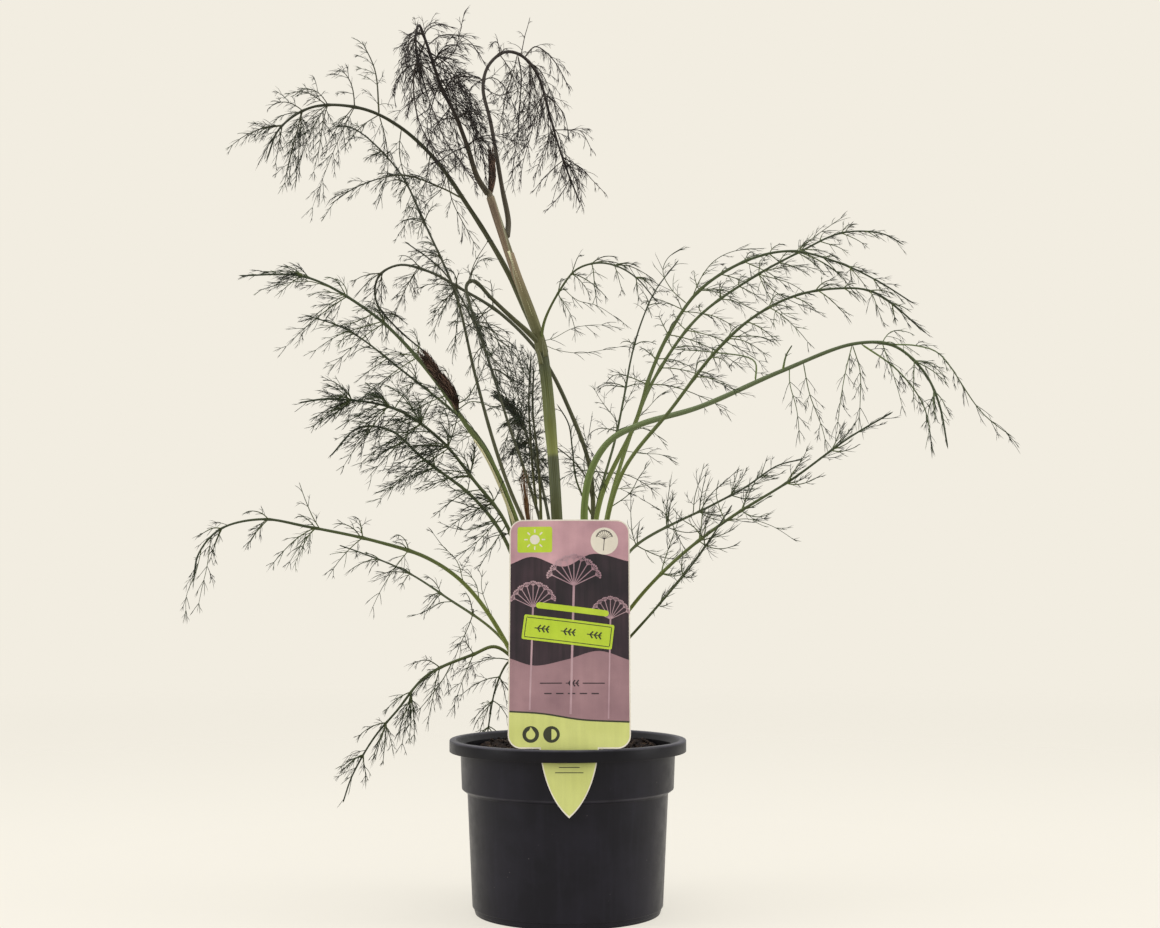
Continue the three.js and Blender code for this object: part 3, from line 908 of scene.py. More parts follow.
@dataclass
class PottingSoil:
    """The soil: an uneven top with crumbs, bark chips and a few fibres, and a plain hidden body."""

    level: float = 113.0
    middle_rise: float = 1.5
    back_rise: float = 4.6
    edge_radius: float = 74.3
    top_radius: float = 75.2
    crumbs: int = 1500
    fibres: int = 160
    steps: int = 200
    rows: int = 70

    def height_at(self, x: Array, y: Array) -> Array:
        """Give the smooth top's height, higher towards the back, in millimetres.

        Args:
            x: Places across.
            y: Places deep.

        Returns:
            The heights.
        """
        heights = [self.level + self.middle_rise, self.level, 112.6, 112.2]
        plain = np.interp(np.hypot(x, y), [0, 43, 71.5, self.top_radius], heights)
        return plain + self.back_rise * smoothstep(y, 27, 47)

    def build(self) -> None:
        """Build and dress the soil."""
        rng = np.random.default_rng(4)
        skin = Skin()
        self.add_body(skin)
        self.add_crumbs(skin, rng)
        self.add_fibres(skin, rng)
        soil = skin.piece("soil_fill", PottingMix().material())
        soil.data.uv_layers.remove(soil.data.uv_layers[BAKE_MAP])
        hand_over(soil, "potting_soil")

    def add_body(self, skin: Skin) -> None:
        """Add the soil's body with its lumpy top.

        Args:
            skin: Where it goes.
        """
        radii = np.linspace(self.top_radius, 0, self.rows, endpoint=False)
        top = np.stack([radii, self.height_at(radii, 0 * radii)], 1)
        wall = [(0, 4.6), (66.4, 4.6), (70.4, 86.2), (self.edge_radius, 89.4), (self.edge_radius, 109.5)]
        add_turned(skin, np.vstack([wall, top, [(0, self.level + self.middle_rise)]]), self.steps)
        points = skin.points[0]
        lumps = ripple(points, 0.011, 1) * 0.7 + ripple(points, 0.0045, 2) * 0.45
        lumps += 0.25 * ripple(points, 0.002, 3)
        height = (self.height_at(*points.T[:2] / MM) + lumps) * MM
        points[:, 2] = np.where(points[:, 2] > 110.5 * MM, height, points[:, 2])

    def scattered(self, rng: Rng, reach: float, least: float, most: float, count: int) -> Array:
        """Scatter places evenly over the top.

        Args:
            rng: The random numbers.
            reach: The outer circle's radius.
            least: Share of the circle's area that is left free in the middle.
            most: Share of the circle's area that the places stay in.
            count: How many.

        Returns:
            The places across, then deep, in millimetres.
        """
        radius = reach * np.sqrt(rng.uniform(least, most, count))
        angle = rng.uniform(0, 2 * math.pi, count)
        return radius * np.array([np.cos(angle), np.sin(angle)])

    def add_crumbs(self, skin: Skin, rng: Rng) -> None:
        """Add loose crumbs and bark chips on the top.

        Args:
            skin: Where they go.
            rng: The random numbers.
        """
        count, sides = self.crumbs, 6
        x, y = self.scattered(rng, self.edge_radius, 0.02, 0.96, count)
        size = 0.5 + 1.7 * rng.beta(1.4, 4.0, count)
        middle = np.stack([x, y, self.height_at(x, y)], 1)
        middle[:, 2] += size * rng.uniform(-0.1, 0.7, count) + 0.4
        tilt = unit(rng.normal(size=(count, 3)))
        aside = unit(np.cross(tilt, rng.normal(size=(count, 3))))
        over = np.cross(tilt, aside)
        turn = steps_round(sides)[:, None]
        stretch = rng.uniform(0.6, 1.5, (count, 3))
        girdle = aside[:, None] * np.cos(turn) * stretch[:, None, :1]
        girdle = girdle + over[:, None] * np.sin(turn) * stretch[:, None, 1:2]
        rings = []
        for latitude in (-0.9, 0.0, 0.9):
            knobby = rng.uniform(0.7, 1.15, (count, sides, 1)) * math.cos(latitude)
            rings.append(girdle * knobby + tilt[:, None] * math.sin(latitude) * stretch[:, None, 2:])
        rings = (middle[:, None, None] + np.stack(rings, 1) * size[:, None, None, None]) * MM
        poles = tilt * (stretch[:, 2] * size)[:, None] * 1.05
        places = np.zeros((count, 3 * sides + 2, 2))
        skin.add_shells(rings, (middle - poles) * MM, (middle + poles) * MM, places)

    def add_fibres(self, skin: Skin, rng: Rng) -> None:
        """Add peat fibres and bits of straw that lie on the top.

        Args:
            skin: Where they go.
            rng: The random numbers.
        """
        count, bends, farthest = self.fibres, 6, 73
        middle = self.scattered(rng, 70, 0.08, 1, count).T[:, None]
        way = rng.uniform(0, 2 * math.pi, (count, 1))
        length = rng.uniform(4, 14, (count, 1))
        share = np.linspace(-0.5, 0.5, bends)
        heading = way + rng.normal(0, 0.8, (count, 1)) * share**2 * 4
        flat = middle + directions(heading)[..., :2] * (share * length)[..., None]
        far = np.linalg.norm(flat, axis=-1, keepdims=True)
        x, y = np.moveaxis(flat * np.minimum(far, farthest) / np.maximum(far, 1e-6), -1, 0)
        high = self.height_at(x, y) + 0.9 + rng.uniform(-0.5, 0.7, (count, bends))
        radii = np.repeat(rng.uniform(0.1, 0.28, (count, 1)) * MM, bends, 1)
        nowhere = np.zeros((count, 2))
        skin.add_tubes(np.stack([x, y, high], -1) * MM, radii, 3, nowhere, nowhere)


class Ink(Enum):
    """The label's printed colours, in the order of its material slots."""

    CREAM = PrintedInk("cream", (222, 216, 200), (208, 200, 184), 0.04)
    # painted light: the mauve brightens towards the card's top
    MAUVE = PrintedInk("mauve", (156, 122, 126), (130, 99, 105), 0.08, 90.0, 1.75)
    PLUM = PrintedInk("plum", (52, 36, 42), (26, 18, 24), 0.4, 330.0)
    LIME = PrintedInk("lime", (196, 200, 122), (184, 188, 108), 0.05)
    OLIVE = PrintedInk("olive", (54, 56, 34), (40, 42, 28), 0.1)
    ROSE = PrintedInk("rose", (184, 154, 158), (148, 116, 125), 0.15)
    RIBBON = PrintedInk("ribbon", (184, 204, 56), (166, 190, 40), 0.05)


@dataclass
class Cutout:
    """Flat shapes of one ink that lie on the label at one level."""

    ink: Ink
    level: float
    outlines: list[Array]
    thickness: float = 0.05


@dataclass
class PlantLabel:
    """The card and its tongue, printed with a plain herb design of umbels, ribbons and care signs."""

    width: float = 83.0
    height: float = 157.0
    corner: float = 9.0
    tongue_width: float = 40.0
    tongue_length: float = 46.0
    thickness: float = 0.6
    lean: float = 9.0
    across: float = 1.5
    slot_back: float = -79.1
    pivot_height: float = 123.0
    lift: float = 0.6
    bow: float = 2.2
    margin: float = 0.9
    cell: float = 5.0
    tilt: float = -7.0

    def placed(self, flat: Array, level: float) -> Array:
        """Carry points of the flat card to their places on the leaning, bowed one.

        Args:
            flat: Points across and up the card, in millimetres.
            level: Height over the card's middle plane, towards the viewer, in millimetres.

        Returns:
            Points in the frame, in metres.
        """
        x, y = flat[:, 0], flat[:, 1] + self.lift
        z = level - self.bow * smoothstep(y, 6, 56) * (2 * x / self.width) ** 2
        lean = math.radians(90 - self.lean)
        depth = self.slot_back + y * math.cos(lean) - z * math.sin(lean)
        height = self.pivot_height + y * math.sin(lean) + z * math.cos(lean)
        return np.stack([x + self.across, depth, height], 1) * MM

    def card_outline(self, inset: float = 0.0) -> Array:
        """Give the card's outline with its tongue.

        Args:
            inset: How far it is set in.

        Returns:
            The outline.
        """
        tongue = self.tongue_width / 2 - inset * 0.9
        corners = ((-tongue, inset), (-tongue * 0.925, -14), (-14 + inset, -34))
        down = bezier(*corners, (0, -self.tongue_length + inset * 1.6))
        corner = max(self.corner - inset, 0.5)
        card = rounded_box(self.width / 2 - inset, inset, self.height - inset, corner, 8)
        return np.vstack([down, (down[::-1] * (-1, 1))[1:], card])

    def grounds(self, half: float) -> tuple[Array, Array, Array]:
        """Give the card's three grounds between wavy lines.

        Args:
            half: Half the printed width.

        Returns:
            The upper ground, the dark hill on it, and the foot with the tongue.
        """
        ground = self.card_outline(self.margin)
        above, below = ground[ground[:, 1] > 12], ground[ground[:, 1] <= 12]
        foot_line = smooth_line([(-half, 24.5), (-18, 23.0), (8, 19.0), (half, 17.5)], 28)
        card = np.vstack([foot_line, above[above[:, 0] > 0], above[above[:, 0] <= 0]])
        foot = np.vstack([np.roll(below, -below[:, 0].argmin(), axis=0), foot_line[::-1]])
        low = smooth_line([(-half, 61), (-24, 56), (-2, 60), (20, 66), (half, 60)], 28)
        high = smooth_line([(-half, 126), (-26, 131), (-4, 124), (16, 133), (half, 128)], 28)
        return card, np.vstack([low, high[::-1]]), foot

    def design(self) -> list[Cutout]:
        """Give every printed shape.

        Returns:
            The shapes by ink and level.
        """
        half = self.width / 2 - self.margin
        card, hill, foot = self.grounds(half)
        bars = [stroke([(-half, 24.9), (-18, 23.4), (8, 19.4), (half, 17.9)], 1.1)]
        umbels = umbel(-25, 26, 96, 15) + umbel(3, 23, 111, 18) + umbel(28, 20, 88, 13)
        wide = tilted(rounded_box(31, -8.5, 8.5, 1.2), self.tilt, (-1, 79))
        narrow = tilted(rounded_box(25, -2.1, 2.1, 2.0), self.tilt, (2, 94.5))
        on_wide = [*box_frame(58.5, 13.5, 0.5), *sprig(-18, 0, 10), *sprig(0, 0, 10), *sprig(18, 0, 10)]
        on_wide = [tilted(shape, self.tilt, (-1, 79)) for shape in on_wide]
        divider = [stroke([(-20, 44), (-5, 44)], 0.7), stroke([(9, 44), (24, 44)], 0.7)]
        divider += sprig(2, 44, 9)
        divider += [stroke([(x, 37), (x + 5, 37)], 0.8) for x in range(-17, 20, 8)]
        sun = [disc(-24, 143, 3.4)]
        for way in directions(steps_round(8))[:, :2]:
            sun.append(stroke([way * 4.8 + (-24, 143), way * 7.2 + (-24, 143)], 0.9))
        badge_print = [shape + (24, 135.4) for shape in umbel(0, 0, 8, 5.5)]
        half_sun = arc(-12, 9.5, 3.6, np.linspace(-math.pi / 2, math.pi / 2, 13))
        rules = [
            stroke([(-reach, y), (reach, y)], 0.55)
            for y, reach in ((-5.5, 9), (-9, 11), (-12.5, 7), (-16, 9.5))
        ]
        return [
            Cutout(Ink.CREAM, -self.thickness / 2, [self.card_outline()], self.thickness),
            Cutout(Ink.MAUVE, 0.3, [card]),
            Cutout(Ink.LIME, 0.3, [foot]),
            Cutout(Ink.PLUM, 0.35, [hill]),
            Cutout(Ink.OLIVE, 0.35, bars),
            Cutout(Ink.ROSE, 0.4, umbels),
            Cutout(Ink.RIBBON, 0.45, [wide, narrow]),
            Cutout(Ink.OLIVE, 0.5, on_wide),
            Cutout(Ink.PLUM, 0.35, divider),
            Cutout(Ink.RIBBON, 0.35, [rounded_box(12, -9, 9, 1.6) + (-24, 143)]),
            Cutout(Ink.CREAM, 0.4, sun),
            Cutout(Ink.CREAM, 0.35, [disc(24, 142, 9.5, 40)]),
            Cutout(Ink.PLUM, 0.4, badge_print),
            Cutout(Ink.OLIVE, 0.35, [disc(-26, 9.5, 5.6, 32), disc(-12, 9.5, 5.6, 32)]),
            Cutout(Ink.LIME, 0.4, [droplet(-26, 9.2, 3.1), half_sun]),
            Cutout(Ink.OLIVE, 0.35, rules),
        ]

    def build(self) -> None:
        """Build and dress the label."""
        points: list[Array] = []
        faces: list[tuple[int, ...]] = []
        inks: list[int] = []
        count = 0
        for cutout in self.design():
            for outline in cutout.outlines:
                flat, card_faces = divided(outline, self.cell)
                points += [self.placed(flat, cutout.level + cutout.thickness)]
                points += [self.placed(flat, cutout.level)]
                faces += [tuple(index + count for index in face) for face in card_faces]
                inks += [list(Ink).index(cutout.ink)] * len(card_faces)
                count += 2 * len(flat)
        mesh = bpy.data.meshes.new("label_card")
        mesh.from_pydata(np.concatenate(points).tolist(), [], faces)
        label = show(mesh, *(ink.value.material() for ink in Ink))
        mesh.polygons.foreach_set("material_index", inks)
        mesh.polygons.foreach_set("use_smooth", [True] * len(mesh.polygons))
        mesh.set_sharp_from_angle(angle=math.radians(30))
        mesh.update()
        hand_over(label, "plant_label")


def smooth_line(points: Sequence[Span], steps: int) -> Array:
    """Draw a smooth flat line through points."""
    solid = np.column_stack([np.asarray(points, float), np.zeros(len(points))])
    return curve_through(solid, steps)[:, :2]


def bezier(start: Span, lead: Span, tail: Span, end: Span) -> Array:
    """Draw a flat curve.

    Args:
        start: Where it starts.
        lead: Where it heads for first.
        tail: Where it comes in from.
        end: Where it ends.

    Returns:
        Its points.
    """
    share = np.linspace(0, 1, 17)[:, None]
    stay = 1 - share
    weights = (stay**3, 3 * stay**2 * share, 3 * stay * share**2, share**3)
    return sum(np.array(corner, float) * part for corner, part in zip((start, lead, tail, end), weights))


def arc(x: float, y: float, radius: float, angles: Array) -> Array:
    """Give the points of a circle about a place at angles in radians."""
    return directions(angles)[:, :2] * radius + (x, y)


def disc(x: float, y: float, radius: float, sides: int = 14) -> Array:
    """Give a round outline."""
    return arc(x, y, radius, steps_round(sides))


def droplet(x: float, y: float, radius: float) -> Array:
    """Draw a drop that hangs from its point.

    Args:
        x: Its place across.
        y: Its round end's height.
        radius: The round end's radius.

    Returns:
        The outline.
    """
    ring = arc(0, 0, radius, np.linspace(-1.23, math.pi + 0.8, 17) + math.pi)
    return np.vstack([ring, [(0, radius * 1.7)]]) + (x, y)


def rounded_box(half: float, low: float, high: float, corner: float, steps: int = 5) -> Array:
    """Give an upright rectangle with rounded corners, from its lower right corner round.

    Args:
        half: Half its width.
        low: Its lower edge.
        high: Its upper edge.
        corner: The corners' radius.
        steps: Steps in each corner.

    Returns:
        The outline.
    """
    quarter = np.linspace(0, math.pi / 2, steps + 1)
    right, low, high = half - corner, low + corner, high - corner
    corners = ((right, low, -0.5), (right, high, 0), (-right, high, 0.5), (-right, low, 1))
    return np.vstack([arc(x, y, corner, quarter + turn * math.pi) for x, y, turn in corners])


def box_frame(width: float, height: float, line: float) -> list[Array]:
    """Draw a rectangle's frame about the origin.

    Args:
        width: Its width.
        height: Its height.
        line: The lines' width.

    Returns:
        Its four lines.
    """
    x, y = width / 2, height / 2
    rows = [stroke([(-x, side * y), (x, side * y)], line) for side in (-1, 1)]
    return rows + [stroke([(side * x, -y + line), (side * x, y - line)], line) for side in (-1, 1)]


def tilted(outline: Array, degrees: float, to: Span) -> Array:
    """Turn an outline about the origin, then move it.

    Args:
        outline: The outline.
        degrees: The turn.
        to: Where the origin goes.

    Returns:
        The placed outline.
    """
    angle = math.radians(degrees)
    turn = np.array([[math.cos(angle), math.sin(angle)], [-math.sin(angle), math.cos(angle)]])
    return outline @ turn + np.asarray(to, float)


def stroke(points: Sequence[Span], width: float) -> Array:
    """Draw a line of some width.

    Args:
        points: The points that it passes through.
        width: Its width.

    Returns:
        Its outline.
    """
    line = np.asarray(points, float) if len(points) == 2 else smooth_line(points, 14)
    ahead = np.gradient(line, axis=0)
    ahead /= np.linalg.norm(ahead, axis=1, keepdims=True)
    left = np.stack([-ahead[:, 1], ahead[:, 0]], 1) * width / 2
    return np.vstack([line - left, (line + left)[::-1]])


def umbel(x: float, foot: float, top: float, size: float) -> list[Array]:
    """Draw a flower umbel on its stalk.

    Args:
        x: Its place across.
        foot: Where its stalk starts.
        top: Where its rays part.
        size: The rays' length.

    Returns:
        The shapes.
    """
    shapes = [stroke([(x - size * 0.12, foot), (x, top)], size * 0.085)]
    start = np.array([x, top - 0.2])
    for degrees in range(-64, 65, 16):
        angle = math.radians(degrees)
        way = np.array([math.sin(angle), math.cos(angle)])
        end = start + way * size * (1 - 0.1 * abs(math.sin(angle)))
        shapes.append(stroke([start, end], size * 0.035))
        for lean in (-50, -25, 0, 25, 50):
            turn = angle + math.radians(lean)
            tip = end + size * 0.2 * np.array([math.sin(turn), math.cos(turn)])
            shapes.append(stroke([end, tip], size * 0.025))
            shapes.append(disc(*tip, size * 0.042, 8))
    return shapes


def sprig(x: float, y: float, length: float) -> list[Array]:
    """Draw a small sprig with three pairs of leaves, lying to the right.

    Args:
        x: Its middle's place across.
        y: Its height.
        length: Its length.

    Returns:
        The shapes.
    """
    shapes = [stroke([(x - length / 2, y), (x + length / 2, y)], length * 0.06)]
    for share in (-0.28, 0.02, 0.3):
        for side in (-1, 1):
            foot = np.array([x + share * length, y])
            way = np.array([math.cos(0.9), side * math.sin(0.9)])
            shapes.append(stroke([foot, foot + way * length * 0.3], length * 0.1))
    return shapes


def divided(outline: Array, cell: float) -> tuple[Array, list[tuple[int, ...]]]:
    """Cut a flat outline into cells, so that it can bend, and give it a top, a bottom and an edge.

    Args:
        outline: The outline.
        cell: The cells' size.

    Returns:
        The top's flat points, which the bottom's follow, and the faces of top, bottom and edge.
    """
    x, y = outline.T
    if (x * np.roll(y, -1) - y * np.roll(x, -1)).sum() < 0:
        outline = outline[::-1]
    work = bmesh.new()
    work.faces.new([work.verts.new((*corner, 0)) for corner in outline])
    for axis, way in ((0, (1, 0, 0)), (1, (0, 1, 0))):
        low, high = outline[:, axis].min(), outline[:, axis].max()
        for number in range(math.floor(low / cell) + 1, math.ceil(high / cell)):
            middle = Vector(way) * number * cell
            everything = [*work.verts, *work.edges, *work.faces]
            bmesh.ops.bisect_plane(work, geom=everything, plane_co=middle, plane_no=way, dist=1e-4)
    work.verts.index_update()
    flat = np.array([vertex.co[:2] for vertex in work.verts])
    top = [tuple(vertex.index for vertex in face.verts) for face in work.faces]
    work.free()
    count = len(flat)
    bottom = [tuple(index + count for index in reversed(face)) for face in top]
    edges = {(a, b) for face in top for a, b in zip(face, (*face[1:], face[0]))}
    walls = [(a, a + count, b + count, b) for a, b in sorted(edges) if (b, a) not in edges]
    return flat, [*top, *bottom, *walls]


@dataclass
class Shoots:
    """Side shoots of one order, each a line with the same stations along it."""

    lines: Array
    planes: Array
    tones: Array
    stations: Array

    def lengths(self) -> Array:
        """Give each shoot's length in metres."""
        return np.linalg.norm(np.diff(self.lines, axis=1), axis=2).sum(1)

    def at(self, owner: Array, share: Array) -> tuple[Array, Array]:
        """Find places on the shoots.

        Args:
            owner: Which shoot each place is on.
            share: How far along it, 0 to 1.

        Returns:
            The points, and the unit directions ahead.
        """
        step = np.clip(np.searchsorted(self.stations, share) - 1, 0, len(self.stations) - 2)
        low, high = self.stations[step], self.stations[step + 1]
        start, end = self.lines[owner, step], self.lines[owner, step + 1]
        return mix(start, end, ((share - low) / (high - low))[:, None]), unit(end - start)

    def picked(self, keep: Array) -> "Shoots":
        """Give some of the shoots."""
        return Shoots(self.lines[keep], self.planes[keep], self.tones[keep], self.stations)


@dataclass(frozen=True)
class Sprouting:
    """How side shoots of one order stand on their parents, in millimetres and degrees.

    A shoot's length is a share of its parent's, kept between least and most, and it shrinks towards the
    parent's tip. gaps is the share of shoots that is left out.
    """

    spacing: float
    share: float
    least: float
    most: float
    foot_angle: float
    tip_angle: float
    roll: float
    hang: float
    first: float = 0.06
    last: float = 0.97
    shrink: float = 0.7
    curl: float = 0.12
    gaps: float = 0.06
    stations: tuple[float, ...] = (0, 0.05, 0.3, 0.55, 0.8, 1)

    def shoots_on(self, parents: Shoots, drift: Array, rng: Rng) -> Shoots:
        """Grow pairs of shoots on every parent.

        Args:
            parents: What they grow on.
            drift: The way that they hang or are combed.
            rng: The random numbers.

        Returns:
            The new shoots.
        """
        lengths = parents.lengths()
        run = lengths * (self.last - self.first)
        counts = np.maximum(1, np.round(run / (self.spacing * MM))).astype(int)
        owner = np.repeat(np.arange(len(counts)), counts)
        rank = np.arange(counts.sum()) - np.repeat(counts.cumsum() - counts, counts)
        share = (rank + 0.5 + rng.uniform(-0.3, 0.3, rank.size)) / counts[owner]
        share = mix(self.first, self.last, share)
        foot, ahead = parents.at(owner, share)
        plane = square_to(parents.planes[owner], ahead)
        made = []
        for side in (-1, 1):
            away = turn_about(plane, ahead, np.radians(rng.normal(0, self.roll, rank.size))) * side
            angle = mix(self.foot_angle, self.tip_angle, share) + rng.uniform(-12, 12, rank.size)
            angle = np.radians(angle)[:, None]
            way = ahead * np.cos(angle) + away * np.sin(angle)
            reach = self.share * lengths[owner] * (1 - self.shrink * share)
            reach = reach * rng.uniform(0.7, 1.25, rank.size)
            reach = np.clip(reach, self.least * MM * rng.uniform(0.7, 1.1, rank.size), self.most * MM)
            tones = np.clip(parents.tones[owner] + rng.normal(0, 0.2, rank.size), 0, 1)
            made.append((self.grown(foot, way, reach, drift, rng), square_to(ahead, way), tones))
        lines, planes, tones = (np.concatenate(pair) for pair in zip(*made))
        keep = rng.uniform(size=len(lines)) > self.gaps
        return Shoots(lines, planes, tones, np.array(self.stations)).picked(keep)

    def grown(self, foot: Array, way: Array, reach: Array, drift: Array, rng: Rng) -> Array:
        """Bend shoots under their weight from their feet to their tips.

        Args:
            foot: Where each starts.
            way: The unit direction that it leaves in.
            reach: Its length in metres.
            drift: The way that it hangs or is combed.
            rng: The random numbers.

        Returns:
            Their lines.
        """
        stations = np.array(self.stations)
        middle = (stations[1:] + stations[:-1]) / 2
        pull = self.hang * drift + self.curl * rng.normal(size=foot.shape)
        ways = unit(way[:, None] + middle[:, None] * pull[:, None])
        steps = ways * np.diff(stations)[:, None] * reach[:, None, None]
        return np.concatenate([foot[:, None], foot[:, None] + steps.cumsum(1)], 1)


@dataclass(frozen=True)
class Habit:
    """How a leaf's blade divides: how many pinnae, how close its threads are and how they hang.

    between counts extra pairs of pinnae between two nodes, and whorl single ones round each node. Gaps and
    lengths are in millimetres. longer scales the pairs, and foot_reach all pinnae at the blade's foot.
    """

    between: int = 0
    whorl: int = 3
    pinnule_gap: float = 9.0
    pinnule_most: float = 18.0
    thread_gap: float = 5.0
    thread_length: float = 5.5
    hang: float = 0.6
    comb: float = 0.3
    longer: float = 1.0
    foot_reach: float = 1.0

    def rules(self) -> tuple[Sprouting, Sprouting, Sprouting]:
        """Give how pinnules, the fine shoots of long pinnules and threads stand.

        Returns:
            The three rules.
        """
        gap, length, hang = self.thread_gap, self.thread_length, self.hang
        few, fewer = (0, 0.06, 0.5, 1), (0, 0.15, 0.6, 1)
        shortest, longest = length * 0.6, length * 1.6
        return (
            Sprouting(self.pinnule_gap, 0.45, 5, self.pinnule_most, 48, 28, 35, hang),
            Sprouting(gap * 1.3, 0.45, 3, 12, 38, 22, 45, hang, last=0.9, gaps=0.2, stations=few),
            Sprouting(
                gap, 0.6, shortest, longest, 34, 18, 55, hang, last=0.86, gaps=0.42, shrink=0.5,
                stations=fewer,
            ),
        )


AIRY = Habit()
SPARSE = Habit(whorl=2, pinnule_gap=12.0, pinnule_most=15.0, thread_gap=6.4)
FULL = Habit(pinnule_gap=9.5, hang=0.7, comb=0.4)
LIGHT = Habit(whorl=2, pinnule_gap=10.0, thread_gap=5.6)
WISPY = Habit(whorl=1, pinnule_gap=12.0, pinnule_most=13.0, thread_gap=7.5)
LACY = Habit(between=1, whorl=1, pinnule_gap=10.5, pinnule_most=15.0, thread_gap=6.6, hang=0.5)
DRAPED = Habit(pinnule_gap=10.0, pinnule_most=15.0, hang=0.7, foot_reach=0.3)
BRUSH = Habit(whorl=8, pinnule_gap=7.5, thread_gap=4.6, hang=0.55, comb=0.25, foot_reach=0.28)
TASSEL = Habit(whorl=2, pinnule_gap=8.0, thread_gap=4.8, hang=0.8, comb=0.8)
MANE = Habit(whorl=4, pinnule_gap=8.0, thread_gap=4.8, hang=0.7, comb=0.55)
TUFT = Habit(
    whorl=9, pinnule_gap=3.6, pinnule_most=12.0, thread_gap=2.2, thread_length=4.0, hang=0.3,
    comb=0.15, longer=0.5,
)

CROWN_SEAT_HEIGHT = 121.0
OUTER_RING = 17.0
INNER_RING = 8.5
LONG_PINNULE = 15.0

PINNA_RADIUS: Span = (0.46, 0.2)
PINNULE_RADIUS: Span = (0.25, 0.16)
FINE_RADIUS: Span = (0.2, 0.14)
THREAD_RADIUS: Span = (0.175, 0.12)
FIBRE_RADIUS: Span = (0.3, 0.16)


@dataclass(frozen=True)
class Limb:
    """A side shoot that leaves a leaf's stalk at a share of its length and follows a route."""

    at: float
    route: tuple[Point, ...]
    radius: float = 0.42


